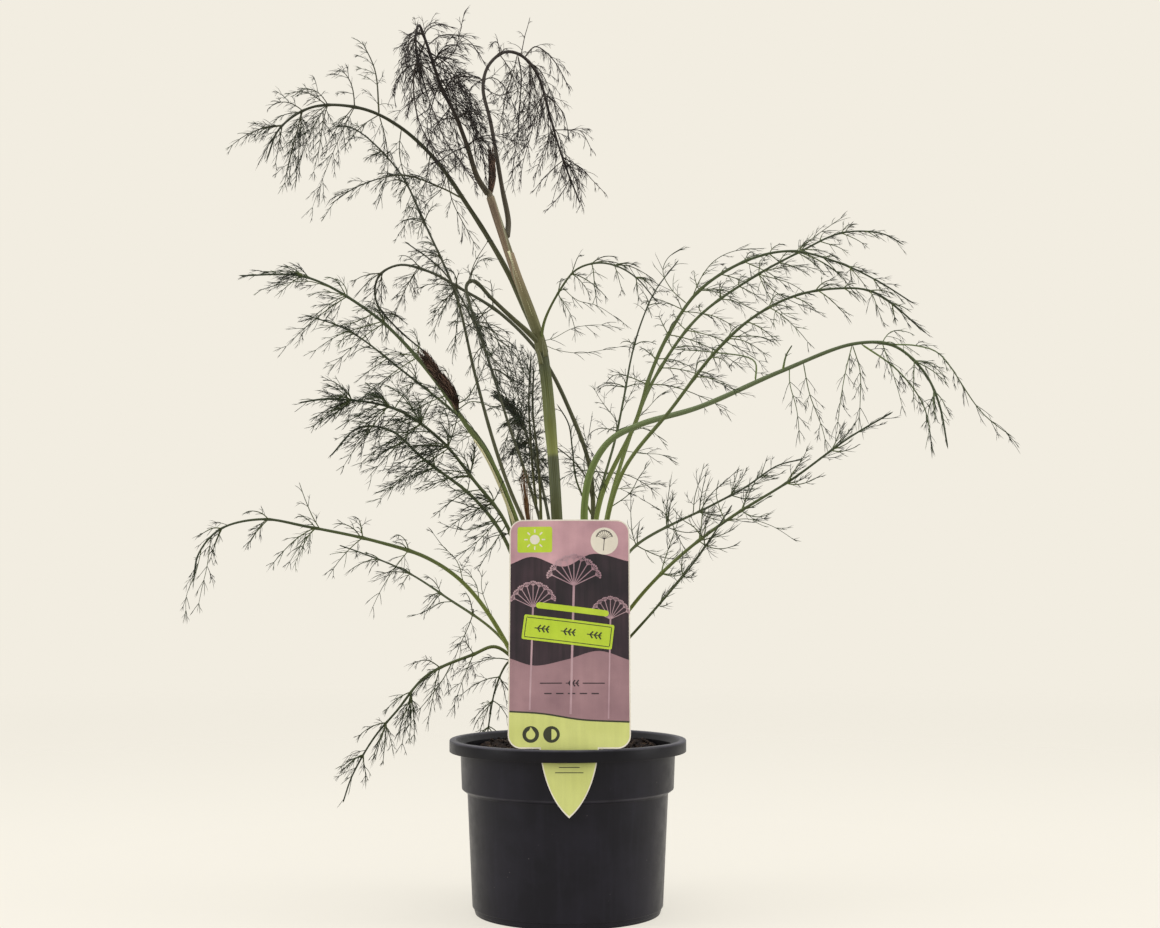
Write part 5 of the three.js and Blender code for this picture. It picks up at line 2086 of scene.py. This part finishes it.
LEAVES: tuple[Leaf, ...] = (
    Leaf(
        "leaf_low_left_long", (204, OUTER_RING),
        ((-44, -14, 192), (-72, -25, 233), (-98, -32, 252), (-134, -40, 264), (-181, -48, 274),
         (-212, -52, 279), (-240, -55, 272), (-254, -58, 255), (-257, -60, 235)),
        radius=1.75, blade=0.5, reach=42, roll=60, habit=SPARSE, tissue=LIME,
        limbs=(
            Limb(0.68, ((-177, -50, 281), (-182, -52, 293), (-186, -54, 305))),
            Limb(0.93, ((-256, -56, 243), (-262, -58, 226), (-262, -58, 208)), 0.3),
            Limb(0.9, ((-250, -50, 246), (-254, -48, 230), (-257, -48, 214)), 0.3),
            Limb(0.37, ((-78, -31, 250), (-88, -34, 261), (-97, -34, 273)), 0.35),
            Limb(0.32, ((-66, -15, 235), (-73, -13, 243), (-83, -13, 248)), 0.35),
            Limb(0.26, ((-58, -11, 219), (-62, -9, 232), (-61, -9, 245)), 0.35),
        ),
    ),
    Leaf(
        "leaf_low_left_short", (164, OUTER_RING),
        ((-45, 12, 190), (-92, 35, 225), (-124, 55, 244), (-157, 75, 257), (-178, 86, 264)),
        radius=1.3, tip=0.45, blade=0.45, pairs=4, reach=36, roll=50, habit=SPARSE, drift=(-0.5, 0, -1),
        limbs=(Limb(0.53, ((-95, 27, 220), (-105, 24, 214), (-116, 24, 210)), 0.35),),
    ),
    Leaf(
        "leaf_lowest_left", (224, OUTER_RING),
        ((-30, -24, 170), (-50, -34, 190), (-66, -42, 185), (-97, -58, 171), (-116, -66, 148),
         (-131, -70, 130), (-145, -74, 105), (-151, -76, 87)),
        radius=1.45, tip=0.45, blade=0.42, reach=36, roll=70, habit=FULL, drift=(-0.35, 0, -1),
        limbs=(Limb(0.49, ((-86, -55, 168), (-95, -57, 156), (-105, -57, 144)), 0.4),),
    ),
    Leaf(
        "leaf_back_low_left", (129, OUTER_RING),
        ((-26, 38, 172), (-44, 66, 176), (-56, 86, 155), (-63, 99, 120), (-66, 105, 96)),
        radius=1.2, tip=0.45, blade=0.5, pairs=4, reach=34, roll=20, habit=SPARSE,
    ),
    Leaf(
        "leaf_dense_left", (244, OUTER_RING),
        ((-18, -28, 187), (-31, -38, 245), (-45, -46, 280), (-64, -58, 305), (-86, -72, 332),
         (-116, -90, 352), (-158, -104, 357), (-178, -108, 354)),
        radius=1.9, tip=0.55, blade=0.45, pairs=7, reach=58, roll=75, habit=BRUSH, drift=(-1.0, 0, -0.45),
        limbs=(
            Limb(0.72, ((-104, -71, 338), (-115, -67, 335), (-125, -65, 328))),
            Limb(0.77, ((-115, -90, 342), (-125, -94, 339), (-136, -96, 333))),
            Limb(0.81, ((-112, -85, 360), (-105, -81, 369), (-101, -79, 377))),
            Limb(0.75, ((-95, -75, 354), (-91, -71, 364), (-90, -69, 373))),
            Limb(0.84, ((-134, -100, 349), (-144, -104, 343), (-154, -106, 336))),
            Limb(0.8, ((-120, -82, 345), (-126, -78, 338), (-129, -76, 328))),
            Limb(0.89, ((-152, -93, 351), (-162, -89, 346), (-173, -87, 340))),
            Limb(0.56, ((-75, -61, 298), (-83, -65, 303), (-90, -67, 310))),
            Limb(0.51, ((-65, -56, 287), (-73, -60, 290), (-82, -62, 292))),
            Limb(0.49, ((-54, -53, 272), (-65, -57, 261), (-78, -59, 252))),
            Limb(0.48, ((-59, -41, 275), (-72, -37, 272), (-87, -35, 275))),
            Limb(0.47, ((-49, -52, 265), (-56, -56, 254), (-62, -58, 243))),
        ),
    ),
    Leaf(
        "leaf_mid_left", (183, OUTER_RING),
        ((-27, -2, 194), (-38, -5, 248), (-50, -7, 274), (-70, -8, 298), (-104, -10, 324), (-127, -12, 344),
         (-150, -15, 346), (-170, -18, 325)),
        radius=1.8, blade=0.52, reach=39, roll=60, habit=DRAPED, drift=(-1.0, 0, -0.7),
    ),
    Leaf(
        "leaf_left_shoot", (178, INNER_RING),
        ((-20, 4, 214), (-32, 8, 262), (-46, 12, 301), (-60, 15, 330), (-73, 20, 348), (-95, 26, 380),
         (-121, 30, 412), (-148, 34, 437), (-198, 40, 465), (-250, 45, 467)),
        radius=2.8, tip=0.55, blade=0.58, reach=55, roll=65, habit=FULL, tissue=LIME, drift=(-1.0, 0, -0.8),
        sheath=0.5,
        limbs=(
            Limb(0.84, ((-194, 30, 460), (-212, 24, 457), (-231, 20, 451))),
            Limb(0.76, ((-158, 26, 429), (-170, 20, 425), (-184, 16, 423))),
            Limb(0.87, ((-203, 47, 469), (-216, 53, 472), (-233, 57, 472))),
            Limb(0.56, ((-75, 19, 371), (-67, 15, 383), (-59, 13, 399), (-50, 13, 410)), 0.5),
            Limb(0.55, ((-71, 15, 368), (-56, 11, 364), (-39, 9, 357)), 0.45),
        ),
    ),
    Leaf(
        "leaf_upper_back_left", (146, OUTER_RING),
        ((-24, 20, 194), (-36, 36, 253), (-50, 52, 306), (-68, 68, 345), (-133, 95, 403), (-176, 105, 435),
         (-211, 112, 448)),
        radius=1.7, blade=0.58, reach=48, roll=40, habit=LACY, drift=(-1.0, 0, -0.4),
    ),
    Leaf(
        "leaf_tall_thin_left", (138, INNER_RING),
        ((-14, 18, 208), (-28, 30, 267), (-44, 42, 305), (-57, 54, 342), (-72, 68, 395), (-88, 84, 459),
         (-111, 100, 512), (-136, 112, 563), (-173, 121, 600), (-189, 123, 603)),
        radius=1.9, blade=0.66, reach=46, roll=30, tissue=OLIVE,
    ),
    Leaf(
        "leaf_back_left", (113, OUTER_RING),
        ((-10, 26, 208), (-18, 38, 268), (-31, 52, 313), (-46, 72, 356), (-57, 88, 390), (-75, 110, 440),
         (-102, 128, 486), (-134, 136, 512)),
        radius=1.6, blade=0.76, pairs=4, reach=42, roll=20, tissue=OLIVE,
        limbs=(
            Limb(0.36, ((-21, 31, 305), (-23, 21, 333), (-26, 13, 362), (-25, 7, 393)), 1.25),
            Limb(0.39, ((-26, 34, 313), (-28, 24, 342), (-29, 16, 370), (-27, 10, 405)), 1.1),
        ),
    ),
    Leaf(
        "leaf_hooked", (55, INNER_RING),
        ((12, 14, 208), (18, 22, 267), (16, 28, 320), (2, 32, 361), (-20, 34, 404), (-51, 38, 437),
         (-82, 42, 457), (-105, 46, 470), (-129, 50, 476), (-145, 55, 468), (-147, 57, 450),
         (-132, 60, 430), (-107, 64, 409)),
        radius=2.3, blade=0.66, reach=46, roll=60, habit=LIGHT, tissue=OLIVE,
        limbs=(
            Limb(0.33, ((14, 22, 310), (8, 20, 320), (0, 18, 328), (-9, 18, 335)), 0.8),
            Limb(0.44, ((8, 25, 342), (15, 21, 328), (23, 19, 314), (29, 19, 300)), 0.5),
        ),
    ),
    Leaf(
        "leaf_centre_back", (88, OUTER_RING),
        ((-2, 28, 208), (-12, 50, 268), (-24, 82, 323), (-35, 110, 355), (-46, 138, 374), (-62, 168, 391)),
        radius=1.9, tip=0.55, blade=0.56, pairs=7, reach=34, roll=25, habit=TUFT, tissue=OLIVE, folded=260,
        folded_from=0.78, folded_radius=2.0,
        limbs=(
            Limb(0.86, ((-46, 123, 392), (-52, 119, 409), (-58, 117, 423))),
            Limb(0.85, ((-41, 121, 392), (-45, 117, 410), (-49, 115, 426))),
            Limb(0.83, ((-36, 118, 390), (-38, 114, 408), (-43, 112, 424))),
            Limb(0.83, ((-31, 116, 385), (-32, 112, 403), (-36, 110, 417))),
            Limb(0.87, ((-53, 126, 389), (-60, 122, 400), (-65, 120, 411))),
            Limb(0.84, ((-40, 119, 356), (-44, 115, 342), (-46, 113, 322))),
            Limb(0.81, ((-34, 111, 349), (-35, 107, 335), (-37, 105, 317))),
            Limb(0.79, ((-29, 107, 349), (-26, 103, 336), (-28, 101, 318))),
            Limb(0.84, ((-47, 119, 358), (-51, 115, 342), (-53, 113, 324))),
            Limb(0.76, ((-31, 101, 339), (-31, 97, 328), (-32, 95, 315))),
            Limb(0.81, ((-28, 111, 365), (-23, 107, 373), (-21, 105, 382))),
        ),
    ),
    Leaf(
        "leaf_stem_front", None,
        ((-20, 0, 408), (-30, -8, 417), (-41, -16, 426), (-55, -28, 438), (-66, -38, 448), (-71, -44, 444),
         (-68, -49, 428), (-58, -54, 398), (-46, -58, 362)),
        radius=1.7, blade=0.45, reach=45, roll=65, habit=SPARSE, tissue=OLIVE, drift=(0.8, 0, -1),
        limbs=(
            Limb(0.47, ((-65, -49, 459), (-59, -53, 468), (-54, -55, 475))),
            Limb(0.51, ((-59, -38, 422), (-48, -34, 403), (-38, -32, 380))),
            Limb(0.65, ((-52, -57, 406), (-38, -61, 395), (-27, -63, 375))),
            Limb(0.78, ((-48, -62, 386), (-37, -66, 372), (-31, -68, 354))),
        ),
    ),
    Leaf(
        "leaf_thick_right_arch", (335, OUTER_RING),
        ((15, -12, 194), (13, -17, 252), (12, -19, 291), (17, -21, 316), (30, -24, 336), (51, -28, 347),
         (93, -34, 359), (149, -42, 383), (201, -48, 402), (227, -52, 400), (247, -55, 382),
         (257, -57, 360), (263, -58, 327)),
        radius=3.3, tip=0.55, blade=0.82, pairs=3, reach=40, roll=40, habit=SPARSE, tissue=BLOOM,
        limbs=(
            Limb(0.64, ((132, -32, 392), (105, -18, 400), (76, -6, 404)), 0.7),
            Limb(0.79, ((228, -60, 382), (244, -70, 356), (249, -76, 321)), 0.7),
            Limb(0.83, ((240, -72, 397), (252, -84, 390), (277, -100, 348), (298, -104, 330)), 0.6),
            Limb(0.68, ((153, -46, 394), (157, -48, 401)), 0.9),
            Limb(0.69, ((155, -51, 373), (159, -55, 355), (161, -57, 330))),
            Limb(0.71, ((171, -34, 368), (180, -30, 345), (185, -28, 325))),
            Limb(0.78, ((193, -53, 380), (189, -57, 360), (186, -59, 339))),
            Limb(0.78, ((206, -38, 384), (207, -32, 365), (206, -30, 342))),
        ),
    ),
    Leaf(
        "leaf_right_arch", (12, INNER_RING),
        ((12, 4, 208), (17, 12, 255), (25, 20, 300), (50, 28, 354), (62, 36, 392), (75, 42, 421),
         (99, 48, 456), (137, 56, 481), (172, 62, 489), (210, 66, 480), (239, 70, 467), (267, 73, 450)),
        radius=2.2, blade=0.5, pairs=6, reach=49, roll=50, habit=LACY, tissue=LIME, drift=(0.9, 0, -0.8),
        limbs=(
            Limb(0.64, ((101, 51, 467), (111, 55, 480), (125, 59, 488), (145, 61, 491))),
            Limb(0.62, ((75, 49, 447), (66, 53, 450), (56, 55, 448))),
            Limb(0.63, ((78, 52, 458), (72, 56, 472), (76, 58, 483), (90, 60, 493))),
            Limb(0.4, ((55, 19, 330), (68, 16, 329), (82, 16, 322)), 0.3),
            Limb(0.43, ((57, 22, 349), (66, 19, 343), (74, 19, 332)), 0.3),
        ),
    ),
    Leaf(
        "leaf_right_high", (40, OUTER_RING),
        ((20, 16, 194), (24, 32, 253), (32, 48, 298), (53, 72, 363), (68, 84, 396), (101, 98, 443),
         (146, 108, 477), (183, 113, 498), (219, 118, 515), (252, 122, 515), (270, 124, 506)),
        radius=2, blade=0.55, pairs=6, reach=54, roll=45, habit=LACY, tissue=LIME, drift=(0.9, 0, -0.6),
        limbs=(
            Limb(0.76, ((163, 103, 465), (178, 97, 455), (198, 93, 446))),
            Limb(0.76, ((157, 99, 462), (168, 93, 446), (180, 87, 439))),
            Limb(0.76, ((138, 115, 475), (128, 117, 469), (117, 119, 468))),
            Limb(0.83, ((198, 105, 490), (215, 99, 476), (227, 95, 458))),
            Limb(0.83, ((194, 121, 510), (211, 127, 523), (225, 131, 533))),
            Limb(0.32, ((46, 42, 302), (53, 40, 314), (62, 40, 326)), 0.45),
            Limb(0.35, ((51, 55, 307), (64, 58, 310), (76, 58, 311)), 0.3),
            Limb(0.46, ((62, 65, 370), (71, 62, 379), (84, 62, 385)), 0.3),
        ),
    ),
    Leaf(
        "leaf_back_right", (66, OUTER_RING),
        ((10, 26, 208), (16, 44, 262), (24, 64, 303), (36, 86, 346), (43, 100, 379), (50, 116, 416),
         (58, 128, 444), (70, 140, 472), (90, 152, 500)),
        radius=1.5, tip=0.45, blade=0.5, reach=40, roll=10, habit=SPARSE,
        limbs=(
            Limb(0.4, ((6, 46, 312), (3, 40, 335), (0, 36, 354), (-9, 34, 369)), 0.9),
            Limb(0.44, ((12, 55, 322), (15, 49, 344), (18, 45, 362))),
            Limb(0.46, ((18, 60, 317), (13, 58, 326), (4, 58, 333)), 0.4),
            Limb(0.61, ((31, 87, 369), (24, 84, 378), (18, 84, 389)), 0.3),
            Limb(0.63, ((47, 100, 380), (52, 103, 391), (54, 103, 402)), 0.3),
        ),
    ),
    Leaf(
        "leaf_right_middle", (306, OUTER_RING),
        ((16, -20, 187), (23, -34, 252), (38, -50, 311), (72, -68, 355), (100, -80, 391), (124, -88, 413),
         (151, -94, 427), (180, -98, 432), (205, -101, 429), (240, -105, 400)),
        radius=1.9, blade=0.6, reach=46, roll=50, habit=LACY, tissue=LIME, drift=(0.8, 0, -0.9),
    ),
    Leaf(
        "leaf_low_back_right", (18, OUTER_RING),
        ((24, 16, 158), (30, 34, 206), (36, 52, 238), (50, 70, 262), (113, 100, 296), (139, 110, 310),
         (166, 120, 328), (188, 128, 334)),
        radius=1.6, blade=0.5, reach=36, roll=55, habit=SPARSE, drift=(0.8, 0, 0.35), pinna_sag=-0.3,
        limbs=(
            Limb(0.69, ((112, 92, 305), (122, 88, 314), (133, 86, 324))),
            Limb(0.74, ((131, 107, 306), (148, 111, 313), (164, 113, 318))),
            Limb(0.67, ((98, 87, 302), (102, 83, 316), (105, 81, 328))),
            Limb(0.61, ((73, 92, 290), (64, 96, 296), (56, 98, 301))),
            Limb(0.61, ((84, 80, 271), (89, 76, 261), (94, 74, 252))),
        ),
    ),
    Leaf(
        "leaf_low_front_right", (0, OUTER_RING),
        ((22, -8, 158), (32, -22, 197), (48, -36, 222), (76, -58, 252), (109, -78, 278), (150, -100, 304),
         (185, -118, 330), (212, -130, 346)),
        radius=1.6, blade=0.42, reach=38, roll=60, habit=SPARSE, tissue=LIME, drift=(0.8, 0, 0.35),
        pinna_sag=-0.3,
        limbs=(
            Limb(0.6, ((122, -83, 278), (138, -87, 273), (155, -89, 262)), 0.3),
            Limb(0.6, ((104, -71, 286), (102, -67, 296), (104, -65, 306))),
            Limb(0.54, ((86, -74, 273), (78, -78, 278), (71, -80, 286))),
        ),
    ),
    Leaf(
        "leaf_front_right", (282, OUTER_RING),
        ((12, -24, 160), (28, -36, 180), (44, -46, 198), (60, -64, 217), (87, -98, 252), (108, -122, 286)),
        radius=1.3, tip=0.45, blade=0.58, pairs=3, reach=28, roll=30, habit=SPARSE, drift=(0.5, 0, 0.2),
        pinna_sag=-0.15,
    ),
    Leaf(
        "leaf_stem_right_arch", None,
        ((-20, 0, 408), (-17, -8, 424), (-6, -20, 444), (6, -32, 457), (21, -42, 460), (35, -50, 456),
         (48, -55, 447), (62, -58, 430)),
        radius=0.95, tip=0.4, blade=0.3, reach=36, roll=55, habit=WISPY,
        limbs=(
            Limb(0.02, ((-11, -4, 412), (4, -8, 419), (23, -10, 421), (42, -10, 418)), 0.26),
            Limb(0.01, ((-9, 4, 405), (9, 8, 403), (28, 10, 406), (48, 10, 410)), 0.26),
            Limb(0.34, ((7, -27, 436), (20, -30, 432), (34, -32, 423), (46, -32, 414)), 0.26),
        ),
    ),
    Leaf(
        "leaf_stem_high_left", None,
        ((-22, 0, 414), (-32, 7, 436), (-45, 8, 464), (-60, 6, 490), (-73, 3, 510), (-96, -6, 542),
         (-122, -18, 564), (-147, -28, 574), (-180, -40, 572), (-202, -50, 554), (-210, -56, 530)),
        radius=2.2, blade=0.72, pairs=4, reach=55, roll=50, tissue=OLIVE,
        limbs=(
            Limb(0.38, ((-92, -16, 520), (-118, -36, 524), (-147, -52, 512), (-166, -62, 496)), 0.7),
            Limb(0.66, ((-140, -14, 606), (-151, -6, 631)), 0.7),
            Limb(0.45, ((-79, -13, 539), (-73, -17, 545), (-69, -19, 552))),
            Limb(0.45, ((-92, -13, 519), (-100, -17, 510), (-106, -19, 499))),
            Limb(0.66, ((-145, -34, 561), (-153, -38, 551), (-161, -40, 540))),
            Limb(0.6, ((-121, -23, 544), (-116, -27, 523), (-108, -29, 503), (-101, -29, 486))),
            Limb(0.66, ((-131, -20, 552), (-130, -18, 531), (-137, -18, 506))),
            Limb(0.45, ((-85, 5, 515), (-76, 9, 497), (-66, 9, 479))),
            Limb(0.51, ((-103, -16, 524), (-111, -20, 505), (-121, -20, 483))),
        ),
    ),
    Leaf(
        "leaf_top_drooping", None,
        ((-58, 0, 518), (-66, -3, 530), (-73, -10, 551), (-82, -17, 574), (-91, -22, 591), (-102, -31, 623),
         (-106, -36, 632), (-108, -41, 622), (-105, -46, 601), (-98, -50, 575)),
        radius=1.8, blade=0.2, pairs=7, reach=56, roll=80, habit=MANE, tissue=BRONZE, drift=(0.6, 0, -1),
        limbs=(
            Limb(0.45, ((-76, -28, 588), (-66, -34, 578), (-60, -36, 563))),
            Limb(0.31, ((-71, -22, 560), (-67, -28, 546), (-65, -30, 529))),
            Limb(0.37, ((-76, -13, 580), (-69, -9, 572), (-65, -7, 560))),
            Limb(0.36, ((-92, -12, 571), (-100, -8, 560), (-103, -6, 544))),
            Limb(0.62, ((-108, -54, 590), (-102, -62, 552), (-82, -66, 522)), 0.7),
            Limb(0.6, ((-92, -22, 629), (-81, -14, 632), (-71, -10, 628), (-60, -6, 612))),
            Limb(0.58, ((-85, -23, 604), (-76, -17, 587), (-70, -13, 570), (-68, -11, 547))),
            Limb(0.52, ((-85, -32, 584), (-81, -38, 561), (-77, -42, 542), (-71, -44, 519))),
            Limb(0.52, ((-82, -32, 613), (-77, -38, 625), (-74, -42, 636), (-71, -44, 642))),
            Limb(0.46, ((-96, -31, 579), (-100, -35, 558), (-94, -37, 540), (-86, -35, 525))),
            Limb(0.7, ((-112, -44, 620), (-114, -48, 604), (-119, -52, 586), (-123, -54, 573))),
            Limb(0.97, ((-91, -52, 557), (-84, -54, 541), (-74, -56, 528), (-62, -56, 510))),
            Limb(0.4, ((-73, -10, 575), (-65, -6, 556), (-61, -2, 539), (-60, -2, 524))),
            Limb(0.42, ((-75, -13, 579), (-66, -9, 562), (-63, -9, 537))),
            Limb(0.36, ((-69, -29, 564), (-62, -33, 547), (-58, -33, 529))),
            Limb(0.57, ((-86, -21, 609), (-76, -17, 591), (-70, -15, 571))),
            Limb(0.56, ((-88, -39, 604), (-80, -43, 582), (-77, -45, 559))),
            Limb(0.53, ((-80, -38, 595), (-68, -44, 579), (-63, -46, 560))),
            Limb(0.44, ((-76, -14, 588), (-68, -10, 578), (-62, -8, 561))),
        ),
    ),
    Leaf(
        "leaf_top_arch", None,
        ((-45, 0, 486), (-44, 8, 500), (-49, 14, 527), (-58, 22, 578), (-64, 27, 606), (-60, 31, 624),
         (-48, 37, 636), (-36, 42, 635), (-24, 46, 622), (-14, 50, 590), (-5, 53, 560), (9, 56, 524)),
        radius=1.8, blade=0.44, pairs=6, reach=52, roll=70, habit=TASSEL, tissue=BRONZE,
        drift=(-0.4, 0, -1),
        limbs=(
            Limb(0.6, ((-25, 52, 645), (-12, 62, 638), (2, 70, 615)), 0.6),
            Limb(0.58, ((-36, 45, 621), (-37, 49, 602), (-39, 51, 575), (-44, 53, 542)), 0.6),
            Limb(0.58, ((-42, 35, 619), (-48, 31, 599), (-49, 29, 577), (-48, 29, 558))),
            Limb(0.59, ((-33, 38, 649), (-31, 36, 655), (-29, 34, 662))),
            Limb(0.7, ((-8, 56, 600), (-2, 60, 589), (0, 62, 573))),
            Limb(0.7, ((-24, 44, 592), (-29, 40, 571), (-35, 40, 549), (-36, 40, 535))),
            Limb(0.8, ((0, 43, 578), (9, 39, 576), (19, 37, 558))),
            Limb(0.87, ((10, 59, 552), (19, 61, 543), (29, 63, 533))),
            Limb(0.88, ((-12, 47, 549), (-20, 45, 540), (-28, 43, 529))),
            Limb(0.93, ((-4, 50, 533), (-11, 46, 523), (-17, 46, 516))),
            Limb(0.42, ((-50, 17, 597), (-35, 13, 602), (-25, 11, 606))),
        ),
    ),
)

BUDS: tuple[Bud, ...] = (
    Bud(
        "bud_left_shoot",
        ((-82, 21, 362), (-85.5, 14, 374), (-96, 13, 388), (-106, 13, 402)),
        5.4, 420, 9, 3.0,
    ),
    Bud(
        "bud_stem_top",
        ((-57, 2, 518), (-56, 9, 536), (-57, 11, 552)),
        4.0, 300, 8,
    ),
    Bud(
        "bud_red_sprout",
        ((-6.5, -6.5, 121), (-18, -9, 200), (-26, -10, 260), (-32, -10, 309)),
        1.1, 110, 12, 5.0, SPROUT,
    ),
)

@dataclass(frozen=True)
class SoftLight:
    """One large soft light of the studio, in metres and watts."""

    name: str
    place: Point
    aim: Point
    size: Span
    power: float

    def build(self) -> None:
        """Set the light up."""
        data = bpy.data.lights.new(self.name, "AREA")
        data.shape = "RECTANGLE"
        data.size, data.size_y = self.size
        data.energy = self.power
        lamp = bpy.data.objects.new(self.name, data)
        bpy.context.scene.collection.objects.link(lamp)
        lamp.location = self.place
        way = Vector(self.aim) - Vector(self.place)
        lamp.rotation_euler = way.to_track_quat("-Z", "Y").to_euler()


@dataclass
class Studio:
    """A plain pale floor that runs out into a pale surround, soft lights and the camera.

    sky is the surround's glow by height, from 0 straight down to 1 straight up, and warmth its tint. The
    camera's place is in millimetres, and the floor and the lights are in metres.
    """

    surround: Colour = (242, 237, 225)
    sky: tuple[Span, ...] = ((0.0, 0.5), (0.47, 0.62), (0.56, 0.55), (1.0, 1.05))
    warmth: Point = (1.0, 0.985, 0.95)
    floor_radius: float = 4.0
    floor_albedo: Colour = (0.213, 0.204, 0.183, 1.0)
    floor_glow: float = 0.7
    camera_place: Point = (8.7, -1211.8, 236.3)
    camera_tilt: float = 2.8
    lens: float = 51.96
    sensor: float = 36.0
    shift: float = 0.0302
    lights: tuple[SoftLight, ...] = (
        SoftLight("left_softbox", (-1.5, -0.5, 0.9), (0, 0, 0.3), (0.9, 1.6), 16.0),
        SoftLight("right_softbox", (1.6, -0.3, 0.8), (0, 0, 0.3), (0.7, 1.6), 13.0),
        SoftLight("top_softbox", (0.1, -0.2, 1.9), (0, 0, 0.2), (1.6, 1.6), 14.0),
    )

    def build(self) -> None:
        """Set the studio up."""
        for light in self.lights:
            light.build()
        self.build_floor()
        self.build_surround()
        self.build_camera()
        bpy.context.scene.view_settings.view_transform = "Standard"

    def build_floor(self) -> None:
        """Lay the floor, which fades into the surround far out."""
        work = bmesh.new()
        bmesh.ops.create_circle(work, cap_ends=True, segments=96, radius=self.floor_radius)
        mesh = bpy.data.meshes.new("floor")
        work.to_mesh(mesh)
        work.free()
        graph = Graph(bpy.data.materials.new("floor"))
        place = graph.place()
        distance = graph.add("VectorMath", {0: place}, operation="LENGTH", output="Value")
        worn = tuple(0.98 * channel for channel in self.floor_albedo)
        graph.dress(
            Base_Color=graph.blend(graph.noise(place, 3, 2), self.floor_albedo, worn),
            Roughness=0.9,
            Specular_IOR_Level=0.1,
            Emission_Color=self.surround,
            Emission_Strength=self.floor_glow,
            Alpha=graph.ranged(distance, 0.5, 2.6, 1, 0),
        )
        show(mesh, graph.owner)

    def build_surround(self) -> None:
        """Light the scene from all round, brighter overhead and darker behind the camera."""
        world = bpy.data.worlds.new("surround")
        bpy.context.scene.world = world
        graph = Graph(world)
        graph.tree.nodes.clear()
        height = graph.parts(graph.add("TexCoord", output="Generated"))[2]
        share = graph.add("Math", {0: height, 1: 0.5, 2: 0.5}, operation="MULTIPLY_ADD")
        stops = [(at, (*(glow * part for part in self.warmth), 1)) for at, glow in self.sky]
        light = graph.add("Background", {0: graph.ramp(share, stops)})
        seen = graph.add("Background", {0: self.surround})
        ahead = graph.add("LightPath", output="Is Camera Ray")
        graph.add("OutputWorld", {0: graph.add("MixShader", {0: ahead, 1: light, 2: seen})})

    def build_camera(self) -> None:
        """Set the camera where the picture was taken from."""
        data = bpy.data.cameras.new("camera")
        data.lens = self.lens
        data.sensor_width = self.sensor
        data.shift_y = self.shift
        data.clip_start, data.clip_end = 0.05, 30
        camera = bpy.data.objects.new("camera", data)
        bpy.context.scene.collection.objects.link(camera)
        camera.location = Vector(self.camera_place) * MM
        camera.rotation_euler = (math.radians(90 + self.camera_tilt), 0, 0)
        bpy.context.scene.camera = camera


def main() -> None:
    """Build every piece and the studio."""
    logging.basicConfig(level=logging.INFO, format="%(name)s: %(message)s")
    label = PlantLabel()
    NurseryPot().build(label)
    PottingSoil().build()
    label.build()
    RootCrown().build()
    MainStem().build()
    tissues: dict[str, Material] = {}
    for number, leaf in enumerate(LEAVES):
        name = leaf.tissue.name
        if name not in tissues:
            tissues[name] = leaf.tissue.material()
        leaf.build(number, tissues[name])
    for number, bud in enumerate(BUDS):
        bud.build(number)
    Studio().build()


if __name__ == "__main__":
    main()
